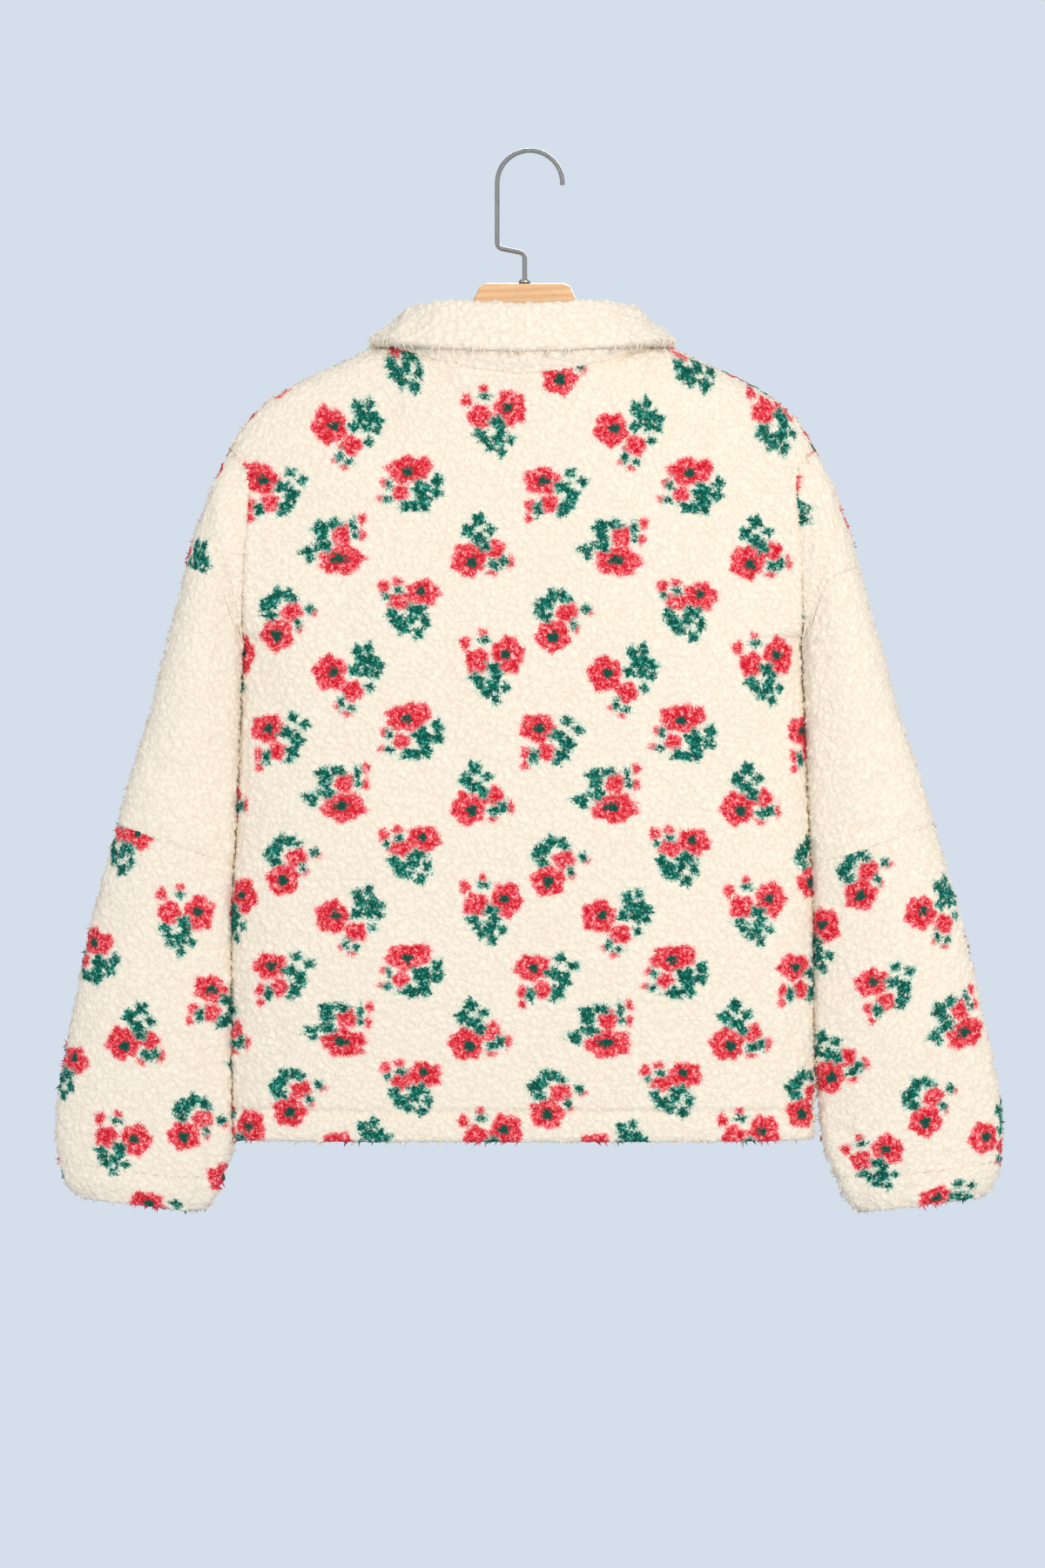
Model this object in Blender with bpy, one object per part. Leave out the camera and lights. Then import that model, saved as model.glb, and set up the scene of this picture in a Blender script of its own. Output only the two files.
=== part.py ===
"""A boxy pullover of curly fleece with a turned-down collar, hung on a wooden hanger.

Metres, +Z up. The origin is the top of the inside of the hook, where a rail holds it.
The back of the garment faces -Y, its front faces +Y, and it hangs flat in the XZ plane.
"""

import math
from collections import namedtuple

import bmesh
import bpy
from mathutils import Vector

# ---------------------------------------------------------------- driving dimensions
SEAM_GAP = 0.0003  # between pieces that meet at a seam
SEAM_CLEAR = 0.0012  # a panel's inside stays this far on its own side of the side seams
CLOTH = 0.006  # curly fleece, knit and pile together
HEM_CLOTH = 0.011  # the turned-up hem, two layers
CUFF_CLOTH = 0.010  # the elastic casing, two layers
MIDDLE_X = -0.003  # the garment hangs this far beside the hook
BACK = -1
FRONT = 1
LEFT = -1
RIGHT = 1

BODY_COLUMNS = 12  # from the middle to a side seam
NECK_COLUMN = 4  # the column that ends at the neck point
ARMHOLE_STEPS = 10  # from the shoulder tip to the underarm
ARMHOLE_HALF_DEPTH = 0.024
EDGE_POWER = 4  # how sharply the body rounds into its side seams
EDGE_REACH = 6  # how quickly the armhole's depth fades towards the body's middle
ROUND_POWER = 0.85  # below 1, sections are a little fuller than an ellipse
NECK_ANGLES = (0, 18, 38, 62, 90)  # of the neck seam's points, from its middle
NECK_HALF_WIDTH = 0.121
NECK_HALF_DEPTH = {BACK: 0.034, FRONT: 0.036}
NECK_POINT_Z = -0.167  # where the neck seam crosses the shoulder seam
NECK_DROP = {BACK: 0.030, FRONT: 0.070}
NECK_DROP_POWER = {BACK: 1.8, FRONT: 1.9}

ShoulderPoint = namedtuple("ShoulderPoint", "x z")
SHOULDER = (
    ShoulderPoint(0.121, NECK_POINT_Z),
    ShoulderPoint(0.152, -0.180),
    ShoulderPoint(0.175, -0.190),
    ShoulderPoint(0.199, -0.2015),
    ShoulderPoint(0.218, -0.2130),
    ShoulderPoint(0.228, -0.2215),
    ShoulderPoint(0.237, -0.2305),
    ShoulderPoint(0.247, -0.2435),
    ShoulderPoint(0.257, -0.2615),
)

ArmholePoint = namedtuple("ArmholePoint", "z x")
ARMHOLE = (
    ArmholePoint(-0.2615, 0.257),
    ArmholePoint(-0.2655, 0.249),
    ArmholePoint(-0.2735, 0.241),
    ArmholePoint(-0.2870, 0.237),
    ArmholePoint(-0.310, 0.238),
    ArmholePoint(-0.345, 0.2405),
    ArmholePoint(-0.399, 0.243),
    ArmholePoint(-0.425, 0.244),
)

BodySection = namedtuple("BodySection", "z half_width back front cloth")
BODY = (
    BodySection(-0.2615, 0.257, 0.034, 0.033, CLOTH),
    BodySection(-0.330, 0.244, 0.036, 0.034, CLOTH),
    BodySection(-0.425, 0.244, 0.038, 0.034, CLOTH),
    BodySection(-0.452, 0.2455, 0.038, 0.034, CLOTH),
    BodySection(-0.490, 0.247, 0.038, 0.033, CLOTH),
    BodySection(-0.540, 0.249, 0.037, 0.033, CLOTH),
    BodySection(-0.590, 0.251, 0.037, 0.032, CLOTH),
    BodySection(-0.640, 0.254, 0.036, 0.032, CLOTH),
    BodySection(-0.690, 0.255, 0.035, 0.031, CLOTH),
    BodySection(-0.740, 0.255, 0.034, 0.031, CLOTH),
    BodySection(-0.790, 0.255, 0.033, 0.030, CLOTH),
    BodySection(-0.8335, 0.2545, 0.032, 0.030, CLOTH),
    BodySection(-0.8365, 0.2545, 0.032, 0.030, HEM_CLOTH),
    BodySection(-0.856, 0.254, 0.031, 0.029, HEM_CLOTH),
    BodySection(-0.862, 0.251, 0.028, 0.026, 0.0065),
)

# Each section of a sleeve runs from a point on its outer edge to one on its inner edge.
# Its line on the face falls by slope, and near the body it dips to the inner point.
SleeveSection = namedtuple("SleeveSection", "outer_x outer_z inner_x inner_z slope dip depth")
SLEEVE = (
    SleeveSection(0.268, -0.284, 0.2449, -0.428, 0.30, 0.25, 0.030),
    SleeveSection(0.280, -0.315, 0.2454, -0.432, 0.34, 0.50, 0.0305),
    SleeveSection(0.288, -0.338, 0.2459, -0.437, 0.38, 0.75, 0.031),
    SleeveSection(0.294, -0.361, 0.2465, -0.443, 0.40, 1.00, 0.031),
    SleeveSection(0.303, -0.399, 0.2477, -0.467, 0.37, 1.00, 0.031),
    SleeveSection(0.314, -0.440, 0.2486, -0.494, 0.36, 1.00, 0.031),
    SleeveSection(0.325, -0.486, 0.2500, -0.529, 0.36, 1.00, 0.031),
    SleeveSection(0.340, -0.535, 0.2518, -0.573, 0.36, 1.00, 0.031),
    SleeveSection(0.354, -0.585, 0.2543, -0.620, 0.35, 1.00, 0.031),
    SleeveSection(0.365, -0.627, 0.2563, -0.661, 0.34, 1.00, 0.031),
    SleeveSection(0.377, -0.672, 0.2565, -0.706, 0.32, 1.00, 0.031),
    SleeveSection(0.387, -0.719, 0.2565, -0.750, 0.28, 1.00, 0.031),
    SleeveSection(0.396, -0.765, 0.2563, -0.793, 0.24, 1.00, 0.030),
    SleeveSection(0.404, -0.809, 0.2560, -0.832, 0.20, 1.00, 0.029),
    SleeveSection(0.408, -0.848, 0.2560, -0.866, 0.16, 1.00, 0.028),
    SleeveSection(0.406, -0.878, 0.2640, -0.892, 0.13, 1.00, 0.027),
    SleeveSection(0.401, -0.896, 0.2710, -0.909, 0.12, 1.00, 0.026),
    SleeveSection(0.392, -0.908, 0.2800, -0.921, 0.12, 1.00, 0.023),
    SleeveSection(0.385, -0.912, 0.2880, -0.925, 0.12, 1.00, 0.020),
)
SLEEVE_PIECES = (  # name, first and last section, counted from the armhole
    ("sleeve_top", 0, 4),
    ("sleeve_middle", 4, 9),
    ("sleeve_lower", 9, 16),
    ("cuff", 16, 19),
)
SWING = {LEFT: 0.0, RIGHT: 0.012}  # how much further out the cuff hangs
SWING_FROM_Z = -0.361
SWING_LENGTH = 0.494
TUCK_TOP_Z = -0.70  # down to here the sleeve's inner edge stays against the body
TUCK_LENGTH = 0.20
DIP_REACH = math.radians(80)  # how far round from its inner edge a section dips
ARMHOLE_GAP_X = 0.0004
SLEEVE_MIDDLE_Y = 0.003  # the sleeves hang this far behind the back's face

# Each section of the collar stands on the neck seam, measured outwards and upwards from it.
# angle runs from the middle of the back to the middle of the front; slant moves the fall's edge
# along the seam, away from the front opening.
CollarSection = namedtuple("CollarSection", "angle rise lean out drop slant")
COLLAR = (
    CollarSection(0, 0.0615, 0.003, 0.0065, 0.0435, 0.000),
    CollarSection(18, 0.0595, 0.002, 0.0070, 0.0440, 0.000),
    CollarSection(38, 0.0523, -0.002, 0.0115, 0.0425, 0.000),
    CollarSection(62, 0.0373, -0.013, 0.0240, 0.0335, 0.000),
    CollarSection(90, 0.0285, -0.021, 0.0315, 0.0290, 0.000),
    CollarSection(118, 0.0280, -0.012, 0.0300, 0.0400, 0.000),
    CollarSection(142, 0.0270, -0.004, 0.0200, 0.0520, 0.004),
    CollarSection(162, 0.0250, -0.001, 0.0160, 0.0620, 0.012),
    CollarSection(172, 0.0230, 0.000, 0.0150, 0.0680, 0.022),
)
COLLAR_GAP = 0.0008  # between the stand and the fall
COLLAR_LIFT = 0.0007  # over the neck seam, which slopes at the front
COLLAR_CURVE = 0.25  # how strongly the table's rows are joined by curves
STAND_STEPS = 3
FOLD_STEPS = 4
FALL_STEPS = 4

PLACKET_HALF_WIDTH = 0.015
PLACKET_BOTTOM_Z = -0.375
PLACKET_CLOTH = 0.0035
PLACKET_DROP = 0.001  # below the neck seam
PLACKET_STEPS = 8
PLACKET_SHARES = (-1, -0.5, 0, 0.5, 1)  # of its half width, for its lines of points
BUTTON_RADIUS = 0.009
BUTTON_THICKNESS = 0.0032
BUTTON_SIDES = 20
BUTTON_ZS = (-0.262, -0.307, -0.352)
BUTTON_EDGE = 0.0008
BUTTON_DISH = 0.0012
BUTTON_HOLE_RADIUS = 0.0009
BUTTON_HOLE_SPREAD = 0.0020
BUTTON_HOLE_SIDES = 8

HangerSection = namedtuple("HangerSection", "x top bottom half_thickness")
HANGER = (
    HangerSection(0.000, -0.1138, -0.168, 0.0065),
    HangerSection(0.034, -0.1138, -0.172, 0.0065),
    HangerSection(0.039, -0.1160, -0.173, 0.0065),
    HangerSection(0.043, -0.1240, -0.175, 0.0065),
    HangerSection(0.050, -0.1390, -0.178, 0.0063),
    HangerSection(0.080, -0.1650, -0.194, 0.0062),
    HangerSection(0.105, -0.1820, -0.206, 0.0058),
    HangerSection(0.122, -0.1865, -0.213, 0.0058),
    HangerSection(0.152, -0.1925, -0.222, 0.0056),
    HangerSection(0.175, -0.2020, -0.230, 0.0052),
    HangerSection(0.196, -0.2130, -0.237, 0.0046),
    HangerSection(0.207, -0.2200, -0.241, 0.0042),
    HangerSection(0.213, -0.2260, -0.2415, 0.0038),
    HangerSection(0.216, -0.2305, -0.2380, 0.0030),
)
HANGER_MIDDLE_X = -0.001
HANGER_CORNER_STEPS = 2
HANGER_CORNER_RADIUS = 0.0045
HANGER_LEAST_FLAT = 0.0003  # left between two corners

WIRE_RADIUS = 0.0021
WIRE_SIDES_STEP = 3
HOOK_RADIUS = 0.0285  # of the wire's centre line
HOOK_MIDDLE = (0.0034, -0.0264)
HOOK_START_DEGREES = 180
HOOK_END_DEGREES = -3
HOOK_STEPS = 20
STEM_X = -0.0011
STEM_BOTTOM_Z = -0.1133
CRANK_LOW_Z = -0.0876  # the wire's nearly level stretch, at the stem
CRANK_HIGH_Z = -0.0828  # and at the hook's upright
CRANK_BEND = 0.0048
CRANK_BEND_STEPS = 5
FERRULE_RADIUS = 0.0052
FERRULE_HEIGHT = 0.0026
FERRULE_SIDES = 20
FERRULE_SHOULDER = 0.6  # share of its height where its edge starts to round off
FERRULE_EDGE = 0.0008

SHARP_ANGLE = math.radians(50)  # edges above it stay sharp

# ---------------------------------------------------------------- finishes
FINISHES = {
    "cream_fleece": ((0.90, 0.85, 0.74, 1.0), 0.95, 0.0),
    "flower_fleece": ((0.88, 0.62, 0.56, 1.0), 0.95, 0.0),
    "button_plastic": ((0.80, 0.74, 0.62, 1.0), 0.35, 0.0),
    "beech": ((0.78, 0.50, 0.28, 1.0), 0.45, 0.0),
    "brushed_nickel": ((0.62, 0.60, 0.57, 1.0), 0.32, 1.0),
}


def finish(name):
    if name in bpy.data.materials:
        return bpy.data.materials[name]
    colour, roughness, metallic = FINISHES[name]
    material = bpy.data.materials.new(name)
    material.use_nodes = True
    shader = material.node_tree.nodes["Principled BSDF"]
    shader.inputs["Base Color"].default_value = colour
    shader.inputs["Roughness"].default_value = roughness
    shader.inputs["Metallic"].default_value = metallic
    return material


# ---------------------------------------------------------------- helpers
def smooth_step(value):
    value = min(1.0, max(0.0, value))
    return value * value * (3 - 2 * value)


def read_table(table, key, column, value):
    """The column's value where the key has this value, on straight lines between the rows."""
    rows = sorted(table, key=lambda row: getattr(row, key))
    value = min(max(value, getattr(rows[0], key)), getattr(rows[-1], key))
    for low, high in zip(rows, rows[1:]):
        if value <= getattr(high, key):
            span = getattr(high, key) - getattr(low, key)
            share = (value - getattr(low, key)) / span
            return getattr(low, column) + share * (getattr(high, column) - getattr(low, column))
    return getattr(rows[-1], column)


def rounded(angle):
    """A section's depth at this angle from its edge, in shares of its half depth."""
    return abs(math.sin(angle)) ** ROUND_POWER


def new_object(name, mesh_builder, material):
    mesh = bpy.data.meshes.new(name)
    mesh_builder.to_mesh(mesh)
    mesh_builder.free()
    mesh.materials.append(finish(material))
    mesh.shade_smooth()
    mesh.set_sharp_from_angle(angle=SHARP_ANGLE)
    made = bpy.data.objects.new(name, mesh)
    bpy.context.scene.collection.objects.link(made)
    return made


def grid_normals(grid, wraps, outward):
    """Unit normals of a grid of points, from each point's neighbours."""
    rows = len(grid)
    columns = len(grid[0])
    normals = []
    for r in range(rows):
        line = []
        for c in range(columns):
            above = grid[max(r - 1, 0)][c]
            below = grid[min(r + 1, rows - 1)][c]
            if wraps:
                before = grid[r][(c - 1) % columns]
                after = grid[r][(c + 1) % columns]
            else:
                before = grid[r][max(c - 1, 0)]
                after = grid[r][min(c + 1, columns - 1)]
            line.append((after - before).cross(below - above).normalized() * outward)
        normals.append(line)
    return normals


def add_wall(builder, outer, inner, wraps):
    """A closed wall between two grids of points that match row by row."""
    rows = len(outer)
    columns = len(outer[0])
    skins = []
    for grid in (outer, inner):
        skins.append([[builder.verts.new(point) for point in line] for line in grid])
    last = columns if wraps else columns - 1
    for r in range(rows - 1):
        for c in range(last):
            after = (c + 1) % columns
            for skin in skins:
                builder.faces.new((skin[r][c], skin[r][after], skin[r + 1][after], skin[r + 1][c]))
    for r in (0, rows - 1):
        for c in range(last):
            after = (c + 1) % columns
            builder.faces.new((skins[0][r][c], skins[0][r][after], skins[1][r][after], skins[1][r][c]))
    if not wraps:
        for c in (0, columns - 1):
            for r in range(rows - 1):
                builder.faces.new(
                    (skins[0][r][c], skins[0][r + 1][c], skins[1][r + 1][c], skins[1][r][c])
                )
    bmesh.ops.recalc_face_normals(builder, faces=builder.faces)


def wall_object(name, outer, inner, wraps, material):
    builder = bmesh.new()
    add_wall(builder, outer, inner, wraps)
    return new_object(name, builder, material)


# ---------------------------------------------------------------- armhole and body
def armhole_angle(step):
    """0 at the shoulder tip and pi at the underarm."""
    return math.pi * step / ARMHOLE_STEPS


def armhole_point(step):
    """x from the middle, half depth and z of the armhole seam."""
    angle = armhole_angle(step)
    top = ARMHOLE[0].z
    bottom = ARMHOLE[-1].z
    z = top + (bottom - top) * (1 - math.cos(angle)) / 2
    return read_table(ARMHOLE, "z", "x", z), ARMHOLE_HALF_DEPTH * rounded(angle), z


def armhole_inset(step, face, towards_x):
    """The direction through the cloth at the armhole seam: down at the top, across at the underarm."""
    angle = armhole_angle(step)
    across = -face * math.sin(angle)
    if step * 2 <= ARMHOLE_STEPS:
        return Vector((0, across, -math.cos(angle)))
    return Vector((towards_x * -math.cos(angle), across, 0))


def neck_point(angle_degrees):
    """A point of the neck seam, from the middle of the back (0) to the middle of the front (180)."""
    angle = math.radians(angle_degrees)
    face = BACK if angle_degrees < 90 else FRONT
    share = abs(math.cos(angle))
    x = NECK_HALF_WIDTH * math.sin(angle)
    if face == BACK:
        fall = 1 - (x / NECK_HALF_WIDTH) ** NECK_DROP_POWER[BACK]
    else:
        fall = share ** NECK_DROP_POWER[FRONT]
    z = NECK_POINT_Z - NECK_DROP[face] * fall
    return Vector((x, face * NECK_HALF_DEPTH[face] * share, z))


def neck_outwards(angle_degrees):
    """The level direction out of the neck opening at this angle."""
    angle = math.radians(angle_degrees)
    half_depth = NECK_HALF_DEPTH[BACK if angle_degrees < 90 else FRONT]
    return Vector((math.sin(angle) * half_depth, -math.cos(angle) * NECK_HALF_WIDTH, 0)).normalized()


def top_point(column, face):
    """The panel's top edge at this column: the neck seam, then the shoulder seam."""
    if column <= NECK_COLUMN:
        angle = NECK_ANGLES[column]
        return neck_point(angle if face == BACK else 180 - angle)
    x = SHOULDER[-1].x * column_share(column)
    return Vector((x, 0, read_table(SHOULDER, "x", "z", x)))


def column_share(column):
    return math.sin(math.pi / 2 * column / BODY_COLUMNS)


def body_levels():
    """Edge x, half depth, z and armhole step of each row, from the shoulder tip to the hem."""
    levels = []
    for step in range(ARMHOLE_STEPS + 1):
        x, half_depth, z = armhole_point(step)
        levels.append((x, half_depth, z, step))
    for section in BODY:
        if section.z < ARMHOLE[-1].z:
            levels.append((section.half_width, 0.0, section.z, None))
    return levels


def body_point(level, column, side, face):
    """A point of the panel's outer face."""
    edge_x, edge_depth, edge_z, step = level
    share = column_share(column)
    depth_name = "back" if face == BACK else "front"
    full_depth = read_table(BODY, "z", depth_name, edge_z)
    roundness = (1 - share**EDGE_POWER) ** 0.5
    if step is None:
        depth = full_depth * roundness
        return Vector((MIDDLE_X + side * edge_x * share, face * depth, edge_z))
    tip = SHOULDER[-1]
    top = top_point(column, face)
    climb = ((edge_z - ARMHOLE[-1].z) / (tip.z - ARMHOLE[-1].z)) ** 2
    x = edge_x * share + (top.x - tip.x * share) * climb
    z = edge_z + (top.z - tip.z) * climb
    on_shoulder = step * 2 <= ARMHOLE_STEPS
    if on_shoulder:
        edge_depth = ARMHOLE_HALF_DEPTH
    near_edge = share**EDGE_REACH
    open_depth = edge_depth + (full_depth - edge_depth) * roundness
    depth = full_depth * roundness * (1 - near_edge) + open_depth * near_edge
    if on_shoulder:
        depth = abs(top.y) + (depth - abs(top.y)) * rounded(armhole_angle(step))
    return Vector((MIDDLE_X + side * x, face * depth, z))


def body_columns():
    """Side and column of each line of points, from the left edge to the right edge."""
    left = [(LEFT, column) for column in range(BODY_COLUMNS, 0, -1)]
    right = [(RIGHT, column) for column in range(BODY_COLUMNS + 1)]
    return left + right


def panel_grids(face):
    """The outer and inner points of the back or the front."""
    levels = body_levels()
    columns = body_columns()
    outer = [[body_point(level, column, side, face) for side, column in columns] for level in levels]
    normals = grid_normals(outer, False, face)
    inner = []
    for r, level in enumerate(levels):
        cloth = read_table(BODY, "z", "cloth", level[2])
        line = []
        for c, (side, column) in enumerate(columns):
            inset = -normals[r][c]
            at_side = column == BODY_COLUMNS
            at_shoulder = r == 0 and column >= NECK_COLUMN
            if r == 0 and column < NECK_COLUMN:
                angle = NECK_ANGLES[column]
                inset = -neck_outwards(angle if face == BACK else 180 - angle)
                inset.x *= side
            if r == 0 and column == NECK_COLUMN:
                inset = Vector((0, 0, -1))
            if at_side and level[3] is not None:
                inset = armhole_inset(level[3], face, -side)
            if at_shoulder or (at_side and level[3] in (None, ARMHOLE_STEPS)):
                inset.y = 0
                outer[r][c].y = face * SEAM_GAP / 2
                inset.normalize()
            point = outer[r][c] + inset * cloth
            if not at_side and face * point.y < SEAM_CLEAR:
                point.y = face * SEAM_CLEAR
            line.append(point)
        inner.append(line)
    return outer, inner


def make_body():
    for name, face in (("back_panel", BACK), ("front_panel", FRONT)):
        outer, inner = panel_grids(face)
        wall_object(name, outer, inner, False, "flower_fleece")


# ---------------------------------------------------------------- sleeves
def sleeve_ring(section, side):
    """The points round one section, from its outer edge over the back to its inner edge and round."""
    swing = SWING[side] * (SWING_FROM_Z - section.outer_z) / SWING_LENGTH
    swing = max(0.0, swing)
    tuck = smooth_step((TUCK_TOP_Z - section.outer_z) / TUCK_LENGTH)
    outer_x = section.outer_x + swing
    inner_x = section.inner_x + swing * tuck
    ring = []
    for step in range(2 * ARMHOLE_STEPS):
        angle = armhole_angle(step)
        share = (1 - math.cos(angle)) / 2
        x = outer_x + (inner_x - outer_x) * share
        straight = section.outer_z + (section.inner_z - section.outer_z) * share
        late = smooth_step(1 - abs(math.pi - angle) / DIP_REACH)
        fall = section.slope * (outer_x - x)
        end_fall = section.slope * (outer_x - inner_x)
        dipped = section.outer_z - fall + (section.inner_z - section.outer_z + end_fall) * late
        z = straight + (dipped - straight) * section.dip
        y = SLEEVE_MIDDLE_Y * smooth_step(section.dip)
        if 0 < step < ARMHOLE_STEPS:
            y -= section.depth * rounded(angle)
        elif step > ARMHOLE_STEPS:
            y += section.depth * rounded(angle)
        ring.append(Vector((MIDDLE_X + side * x, y, z)))
    return ring


def armhole_ring(side):
    ring = []
    for step in range(2 * ARMHOLE_STEPS):
        face = BACK if step <= ARMHOLE_STEPS else FRONT
        x, half_depth, z = armhole_point(min(step, 2 * ARMHOLE_STEPS - step))
        y = face * half_depth if step % ARMHOLE_STEPS else 0.0
        ring.append(Vector((MIDDLE_X + side * (x + ARMHOLE_GAP_X), y, z)))
    return ring


def sleeve_grids(side):
    """All the rings of a sleeve, outer and inner."""
    outer = [armhole_ring(side)] + [sleeve_ring(section, side) for section in SLEEVE]
    normals = grid_normals(outer, True, side)
    inner = []
    for r, ring in enumerate(outer):
        cloth = CLOTH if r <= SLEEVE_PIECES[2][2] else CUFF_CLOTH
        line = []
        for step, point in enumerate(ring):
            inset = -normals[r][step]
            if r == 0:
                face = BACK if step <= ARMHOLE_STEPS else FRONT
                inset = armhole_inset(min(step, 2 * ARMHOLE_STEPS - step), face, side)
                if step % ARMHOLE_STEPS == 0:
                    inset.y = 0
            line.append(point + inset * cloth)
        inner.append(line)
    return outer, inner


def moved_towards(ring, other):
    """The ring moved by half a seam gap towards another."""
    return [point + (aim - point).normalized() * SEAM_GAP / 2 for point, aim in zip(ring, other)]


def make_sleeves():
    for side, side_name in ((LEFT, "left"), (RIGHT, "right")):
        outer, inner = sleeve_grids(side)
        for name, first, last in SLEEVE_PIECES:
            pair = []
            for grid in (outer, inner):
                rings = [list(ring) for ring in grid[first : last + 1]]
                if first > 0:
                    rings[0] = moved_towards(grid[first], grid[first + 1])
                if last < len(grid) - 1:
                    rings[-1] = moved_towards(grid[last], grid[last - 1])
                pair.append(rings)
            material = "cream_fleece" if name == "sleeve_middle" else "flower_fleece"
            wall_object(f"{name}_{side_name}", pair[0], pair[1], True, material)


# ---------------------------------------------------------------- collar
def collar_values(angle):
    """The collar's section at this angle, on a smooth curve through the table's rows."""
    angles = [section.angle for section in COLLAR]
    index = max(i for i in range(len(COLLAR) - 1) if angles[i] <= angle)
    before = COLLAR[max(index - 1, 0)]
    low = COLLAR[index]
    high = COLLAR[index + 1]
    after = COLLAR[min(index + 2, len(COLLAR) - 1)]
    share = (angle - low.angle) / (high.angle - low.angle)
    values = []
    for name in CollarSection._fields[1:]:
        p0, p1, p2, p3 = (getattr(row, name) for row in (before, low, high, after))
        bend = p1 + share * (p2 - p1)
        curve = (p1 - p0 - (p3 - p2)) * COLLAR_CURVE * share * (1 - share)
        values.append(bend + curve)
    return values


def neck_on_chords(angle):
    """A point of the neck seam on the straight lines between its points, as the panels are cut."""
    angles = NECK_ANGLES + tuple(180 - degrees for degrees in reversed(NECK_ANGLES[:-1]))
    index = max(i for i in range(len(angles) - 1) if angles[i] <= angle)
    share = (angle - angles[index]) / (angles[index + 1] - angles[index])
    return neck_point(angles[index]).lerp(neck_point(angles[index + 1]), share)


def collar_line(angle, side):
    """Points across the collar's underside and upper side: up the stand, over and down the fall."""
    rise, lean, out, drop, slant = collar_values(angle)
    base = neck_on_chords(angle)
    outwards = neck_outwards(angle)
    along = Vector((-outwards.y, outwards.x, 0))  # towards the front opening
    up = Vector((0, 0, 1))
    fold_radius = CLOTH + COLLAR_GAP / 2  # of the fold's upper face
    stand_foot = base + up * COLLAR_LIFT
    stand_top = base + outwards * lean + up * (rise - fold_radius)
    fall_end = stand_top + outwards * out - up * (drop - fold_radius) - along * slant
    stand_way = (stand_top - stand_foot).normalized()
    fall_way = (fall_end - stand_top).normalized()
    stand_out = (outwards - stand_way * outwards.dot(stand_way)).normalized()
    fall_out = (outwards - fall_way * outwards.dot(fall_way)).normalized()
    under = []
    upper = []
    for step in range(STAND_STEPS + 1):
        point = stand_foot.lerp(stand_top, step / STAND_STEPS)
        under.append(point)
        upper.append(point - (stand_out if step else outwards) * CLOTH)
    fold_middle = stand_top + stand_out * COLLAR_GAP / 2
    for step in range(1, FOLD_STEPS):
        turn = math.pi * step / FOLD_STEPS
        way = -stand_out * math.cos(turn) + stand_way * math.sin(turn)
        if step * 2 > FOLD_STEPS:
            way = fall_out * -math.cos(turn) - fall_way * math.sin(turn)
        under.append(fold_middle + way * COLLAR_GAP / 2)
        upper.append(fold_middle + way * fold_radius)
    fall_start = fold_middle + fall_out * COLLAR_GAP / 2
    for step in range(FALL_STEPS + 1):
        point = fall_start.lerp(fall_end, step / FALL_STEPS)
        under.append(point)
        upper.append(point + fall_out * CLOTH)
    middle = Vector((MIDDLE_X, 0, 0))
    flip = Vector((side, 1, 1))
    return [point * flip + middle for point in under], [point * flip + middle for point in upper]


def make_collar():
    angles = []
    for low, high in zip(COLLAR, COLLAR[1:]):
        angles.append(low.angle)
        angles.append((low.angle + high.angle) / 2)
    angles.append(COLLAR[-1].angle)
    stations = [(angle, LEFT) for angle in reversed(angles[1:])] + [(angle, RIGHT) for angle in angles]
    lines = [collar_line(angle, side) for angle, side in stations]
    under = [line[0] for line in lines]
    upper = [line[1] for line in lines]
    wall_object("collar", under, upper, False, "cream_fleece")


# ---------------------------------------------------------------- placket and buttons
def front_at(outer, x, z):
    """The front panel's face at this x and z, between its own points."""
    for row, next_row in zip(outer, outer[1:]):
        for c in range(len(row) - 1):
            left, right = row[c], row[c + 1]
            if not left.x <= x <= right.x:
                continue
            share = (x - left.x) / (right.x - left.x)
            upper = left.lerp(right, share)
            lower = next_row[c].lerp(next_row[c + 1], share)
            if lower.z <= z <= upper.z:
                return lower.lerp(upper, (z - lower.z) / (upper.z - lower.z)).y
    raise ValueError(f"no cloth of the front at {x:.3f}, {z:.3f}")


def make_placket(outer):
    top_z = neck_point(180).z - PLACKET_DROP
    rows = []
    for step in range(PLACKET_STEPS + 1):
        z = top_z + (PLACKET_BOTTOM_Z - top_z) * step / PLACKET_STEPS
        line = []
        for share in PLACKET_SHARES:
            x = MIDDLE_X + share * PLACKET_HALF_WIDTH
            line.append(Vector((x, front_at(outer, x, z) + SEAM_GAP, z)))
        rows.append(line)
    out = Vector((0, PLACKET_CLOTH, 0))
    face = [[point + out for point in line] for line in rows]
    wall_object("placket", face, rows, False, "cream_fleece")


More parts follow.
